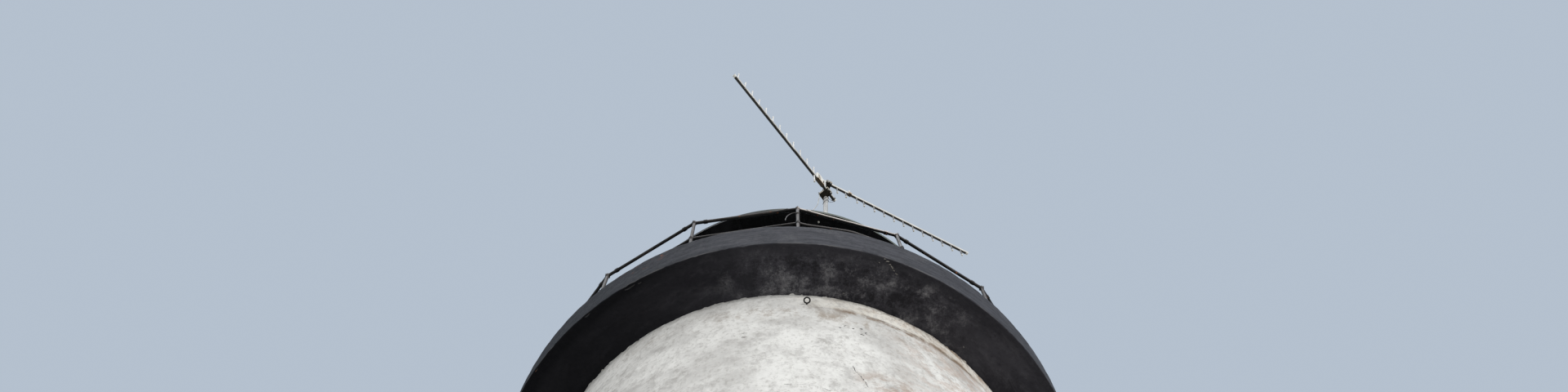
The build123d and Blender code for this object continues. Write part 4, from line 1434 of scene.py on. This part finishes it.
class TOWER_OT_lantern_fittings(Operator):
    """Rivets and laps of the lantern's wall, capping screws of its bars, and its door's hinges and latch"""

    bl_idname = "tower.lantern_fittings"
    bl_label = "Lantern fittings"

    def execute(self, context):
        door_low, door_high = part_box("lantern_door")
        self.rivets(door_high)
        bolt = bmesh.new()
        add_turned(bolt, (0.366, -1.971, RIM_LOW.z + 0.001), DOWN, RIM_BOLT, 20)
        finish_piece("rim_bolt", bolt, "pale_cable", sharp=40)
        self.capping()
        self.door_irons(door_low, door_high)
        return {"FINISHED"}

    @staticmethod
    def rivets(door_high):
        """Upright laps of the lantern's wall between rows of rivets, and rivets round its two edges."""
        bm = bmesh.new()
        low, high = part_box("lantern_wall")
        radius = high.x
        tall = high.z - low.z
        door_half = degrees(asin(door_high.x / radius)) + 1.5
        laps = around(16)
        for bearing in laps:
            if abs(bearing - 90) < door_half:
                continue
            outward, sideways = directions(bearing)
            lap = outward * (radius + 0.0015) + UP * ((low.z + high.z) / 2)
            add_block(bm, lap, (0.1, 0.009, tall - 0.02), sideways, 0.001)
            for level in [low.z + 0.05 + (tall - 0.1) * step / 17 for step in range(18)]:
                for side in (-0.032, 0.032):
                    seat = outward * (radius + 0.005) + sideways * side + UP * level
                    add_turned(bm, seat, outward, WALL_RIVET, 10)
        for level in (low.z + 0.06, high.z - 0.05):
            for bearing in around(240):
                by_lap = min(abs(bearing - lap) for lap in [*laps, 360]) < 2.2
                by_door = abs(bearing - 90) < door_half and level < door_high.z
                if not by_lap and not by_door:
                    seat = polar(bearing, radius - 0.002, level)
                    add_turned(bm, seat, polar(bearing, 1, 0), WALL_RIVET, 10)
        finish_piece("lantern_rivets", bm, "black_lantern", sharp=40)

    @staticmethod
    def capping():
        """A screwed capping over each glazing bar."""
        bm = bmesh.new()
        low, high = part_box("glazing_bars")
        tall = high.z - low.z
        for points in solids("glazing_bars"):
            middle = middle_of(points)
            outward, sideways = directions(degrees(atan2(middle.y, middle.x)))
            face = max(point.dot(outward) for point in points)
            cap = outward * (face + 0.002) + UP * ((low.z + high.z) / 2)
            add_block(bm, cap, (0.03, 0.007, tall - 0.02), sideways, 0.0015)
            for level in [low.z + 0.08 + (tall - 0.16) * step / 12 for step in range(13)]:
                add_turned(bm, outward * (face + 0.005) + UP * level, outward, CAPPING_SCREW, 12)
        finish_piece("bar_capping", bm, "black_lantern", sharp=40)

    @staticmethod
    def door_irons(low, high):
        """Strap hinges with their pins and rivets, and a latch with its grip, on the lantern's door."""
        bm = bmesh.new()
        face = high.y
        for level in (low.z + 0.22, high.z - 0.22):
            add_block(bm, (low.x + 0.2, face + 0.005, level), (0.38, 0.012, 0.045), RIGHT, 0.003)
            pin = Vector((low.x - 0.004, face + 0.008, level))
            add_tube(bm, [pin - UP * 0.035, pin + UP * 0.035], 0.011, 14)
            for step in range(4):
                add_turned(bm, (low.x + 0.07 + 0.09 * step, face + 0.01, level), (0, 1, 0), HINGE_RIVET, 10)
        latch = Vector((high.x - 0.09, face, low.z + 0.62))
        add_block(bm, latch + Vector((0, 0.004, 0)), (0.05, 0.01, 0.16), RIGHT, 0.003)
        grip = ((0.006, -0.06), (0.045, -0.045), (0.052, 0), (0.045, 0.045), (0.006, 0.06))
        add_tube(bm, [latch + Vector((0, out, rise)) for out, rise in grip], 0.007, 12)
        finish_piece("lantern_door_irons", bm, "dark_iron", sharp=40)


class TOWER_OT_windows(Operator):
    """Glazing bars and putty of the tower's windows"""

    bl_idname = "tower.windows"
    bl_label = "Window bars"

    def execute(self, context):
        bars = bmesh.new()
        bar, meeting_rail, putty, frame_width = 0.026, 0.046, 0.012, 0.055
        for bearing, half, low, high, front in window_places():
            outward, sideways = directions(bearing)
            foot, head = low + frame_width, high - frame_width
            wide, tall = 2 * (half - frame_width), head - foot
            centre = outward * (front - 0.024) + UP * ((foot + head) / 2)
            add_block(bars, centre, (bar, 0.03, tall), sideways, 0.004)
            for share, height in ((-0.25, bar), (0, meeting_rail), (0.25, bar)):
                add_block(bars, centre + UP * (tall * share), (wide, 0.032, height), sideways, 0.004)
            for side in (-1, 1):
                edge = centre + UP * (side * (tall - putty) / 2)
                add_block(bars, edge, (wide, 0.014, putty), sideways, 0.003)
                edge = centre + sideways * (side * (wide - putty) / 2)
                add_block(bars, edge, (putty, 0.014, tall), sideways, 0.003)
        finish_piece("window_bars", bars, "window_paint", sharp=40)
        return {"FINISHED"}


class TOWER_OT_doorway(Operator):
    """The entrance's boarded leaf with its strap hinges, studs and keyhole"""

    bl_idname = "tower.doorway"
    bl_label = "Entrance door"

    def execute(self, context):
        low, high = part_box("door_leaf")
        self.boards(low, high)
        self.irons(low, high)
        return {"FINISHED"}

    @staticmethod
    def boards(low, high):
        """Upright boards, each set back a little by chance, with three knots under the paint."""
        bm = bmesh.new()
        count = 7
        width = (high.x - low.x) / count
        tall = high.z - low.z
        draw = random.Random(5)
        for board in range(count):
            x = low.x + width * (board + 0.5)
            centre = (x, (low.y + high.y) / 2 + draw.uniform(0.0, 0.0022), (low.z + high.z) / 2)
            add_block(bm, centre, (width - 0.0015, high.y - low.y - 0.005, tall), RIGHT, 0.005)
            for _ in range(3):
                aside = draw.uniform(-0.3, 0.3) * width
                knot = (x + aside, low.y + 0.0015, low.z + draw.uniform(0.15, 0.9) * tall)
                add_turned(bm, knot, (0, -1, 0), WOOD_KNOT, 10)
        leaf = finish_piece("door_boards", bm, "door_paint", sharp=40)
        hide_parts("door_leaf")

    @staticmethod
    def irons(low, high):
        """Three strap hinges with rosettes, pins and studs, and the lock's plate and keyhole boss."""
        bm = bmesh.new()
        face = low.y
        for level in [low.z + (high.z - low.z) * share for share in (0.14, 0.5, 0.86)]:
            add_block(bm, (low.x + 0.31, face - 0.004, level), (0.6, 0.009, 0.05), RIGHT, 0.002)
            add_turned(bm, (low.x + 0.625, face - 0.0005, level), (0, -1, 0), ROSETTE, 28)
            pin = Vector((low.x + 0.004, face - 0.012, level))
            add_tube(bm, [pin - UP * 0.04, pin + UP * 0.04], 0.012, 16)
            for step in range(6):
                add_turned(bm, (low.x + 0.07 + 0.1 * step, face - 0.008, level), (0, -1, 0), STRAP_STUD, 12)
        lock = high.x - 0.11
        add_block(bm, (lock, face - 0.003, low.z + 1.02), (0.07, 0.008, 0.24), RIGHT, 0.003)
        add_turned(bm, (lock, face - 0.0065, low.z + 0.95), (0, -1, 0), KEYHOLE_BOSS, 20)
        finish_piece("door_irons", bm, "dark_iron", sharp=40)


class TOWER_OT_foot(Operator):
    """Uneven plinth and worn stone steps"""

    bl_idname = "tower.foot"
    bl_label = "Plinth and steps"

    # Width and height of the plinth's chamfer
    CHAMFER = 0.06

    def execute(self, context):
        chamfer = self.CHAMFER
        side = WALL_FOOT - chamfer
        stations = [(0.001, WALL_FOOT), (1.5, WALL_FOOT), (2.8, WALL_FOOT)]
        stations += [(PLINTH_RADIUS - chamfer - 0.004, WALL_FOOT - 0.001)]
        drops = [chamfer * step / 3 for step in range(4)]
        stations += [(PLINTH_RADIUS - chamfer + drop, WALL_FOOT - drop) for drop in drops]
        stations += [(PLINTH_RADIUS, side - (side - 0.012) * step / 18) for step in range(1, 19)]
        stations += [(PLINTH_RADIUS - 0.01, 0.0), (2.0, 0.0), (0.001, 0.0)]
        plinth = finish_piece("plinth_surface", worn_form(stations, 720, self.worn), "white_wall", sharp=50)
        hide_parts("plinth")

        steps = bmesh.new()
        low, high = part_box("door_steps")
        corners = [vert.co for vert in NODES["door_steps"].data.vertices]
        below = 0.0
        for tread, top in enumerate(sorted({round(corner.z, 4) for corner in corners if corner.z > 0.01})):
            front = min(corner.y for corner in corners if abs(corner.z - top) < 1e-3)
            self.stone(steps, (low.x, front, below), (high.x, high.y, top), tread)
            below = top
        stones = finish_piece("worn_steps", steps, "step_stone", sharp=45)
        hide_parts("door_steps")
        return {"FINISHED"}

    def worn(self, place, radius, level):
        """Where a point of the plinth's surface ends up, as a radius and a level."""
        half = self.CHAMFER * 0.5
        dent = 0.006 * (0.5 + 0.5 * rough(place, 0.5, 4)) + 0.003 * abs(rough(place, 0.07, 3))
        chip = max(0.0, rough((place.x, place.y, 4), 0.16, 4) - 0.25) * 0.05
        near_edge = 1 - ease(hypot(radius - PLINTH_RADIUS + half, level - WALL_FOOT + half), 0, 0.08)
        outer = ease(radius, 2.9, 3.0) * (1 if level > 0 else 0)
        return radius - (dent + chip * near_edge) * outer, level

    @staticmethod
    def stone(bm, low, high, seed):
        """One tread: a dressed block with eased edges, hollowed a little where feet have worn it."""
        counts = (60, 14, 8)
        wide, deep, tall = counts
        eased = 0.012 * 0.3
        width = high[0] - low[0]
        grid = {}
        for i in range(wide + 1):
            for j in range(deep + 1):
                for k in range(tall + 1):
                    if 0 < i < wide and 0 < j < deep and 0 < k < tall:
                        continue
                    steps = zip(low, high, (i, j, k), counts)
                    x, y, z = (start + (end - start) * at / count for start, end, at, count in steps)
                    middle = 1 - ease(abs(x) / width * 2, 0.1, 0.8)
                    hollow = 0.012 * middle * (1 - ease(y - low[1], 0.0, 0.24))
                    wear = hollow * ease(z - low[2], 0.06, high[2] - low[2])
                    rub = 0.0025 * abs(rough((x, y, z + seed), 0.08, 4))
                    at_side, at_front, at_top = (i == 0) - (i == wide), j == 0, k == tall
                    soft = eased if abs(at_side) + at_front + at_top > 1 else 0.0
                    x += (soft + rub) * at_side
                    y += (soft + rub + wear * 0.4) * at_front
                    z -= (soft + rub) * at_top + wear
                    grid[i, j, k] = bm.verts.new((x, y, z))
        for axis in (2, 1, 0):
            first, second = [other for other in range(3) if other != axis]
            for a in range(counts[first]):
                for b in range(counts[second]):
                    for end in (0, counts[axis]):
                        corners = []
                        for corner_a, corner_b in ((a, b), (a + 1, b), (a + 1, b + 1), (a, b + 1)):
                            place = {first: corner_a, second: corner_b, axis: end}
                            corners.append(grid[place[0], place[1], place[2]])
                        bm.faces.new(corners)


class TOWER_PT_tower(Panel):
    """Operators and sizes of the lighthouse"""

    bl_label = "Lighthouse"
    bl_idname = "TOWER_PT_tower"
    bl_space_type = "VIEW_3D"
    bl_region_type = "UI"
    bl_category = "Lighthouse"

    def draw(self, context):
        layout = self.layout
        for operator in OPERATORS:
            layout.operator(operator.bl_idname)
        for group in (context.scene.tower_stage, context.scene.tower_coat):
            for name in group.bl_rna.properties.keys():
                if name not in ("rna_type", "name"):
                    layout.prop(group, name)


OPERATORS = (
    TOWER_OT_finishes,
    TOWER_OT_wall_coat,
    TOWER_OT_head_band,
    TOWER_OT_wall_marks,
    TOWER_OT_gallery,
    TOWER_OT_rail_fittings,
    TOWER_OT_aerials,
    TOWER_OT_roof_seams,
    TOWER_OT_lantern_fittings,
    TOWER_OT_windows,
    TOWER_OT_doorway,
    TOWER_OT_foot,
    TOWER_OT_stage,
)
GROUPS = {"tower_stage": TowerStage, "tower_coat": TowerCoat}


def register():
    for group in GROUPS.values():
        bpy.utils.register_class(group)
    for name, group in GROUPS.items():
        setattr(bpy.types.Scene, name, PointerProperty(type=group))
    for operator in OPERATORS:
        bpy.utils.register_class(operator)
    bpy.utils.register_class(TOWER_PT_tower)


def unregister():
    bpy.utils.unregister_class(TOWER_PT_tower)
    for operator in reversed(OPERATORS):
        bpy.utils.unregister_class(operator)
    for name, group in GROUPS.items():
        delattr(bpy.types.Scene, name)
        bpy.utils.unregister_class(group)


def main():
    """Makes the looks, in order."""
    register()
    for operator in OPERATORS:
        category, name = operator.bl_idname.split(".")
        getattr(getattr(bpy.ops, category), name)()


if __name__ == "__main__":
    main()
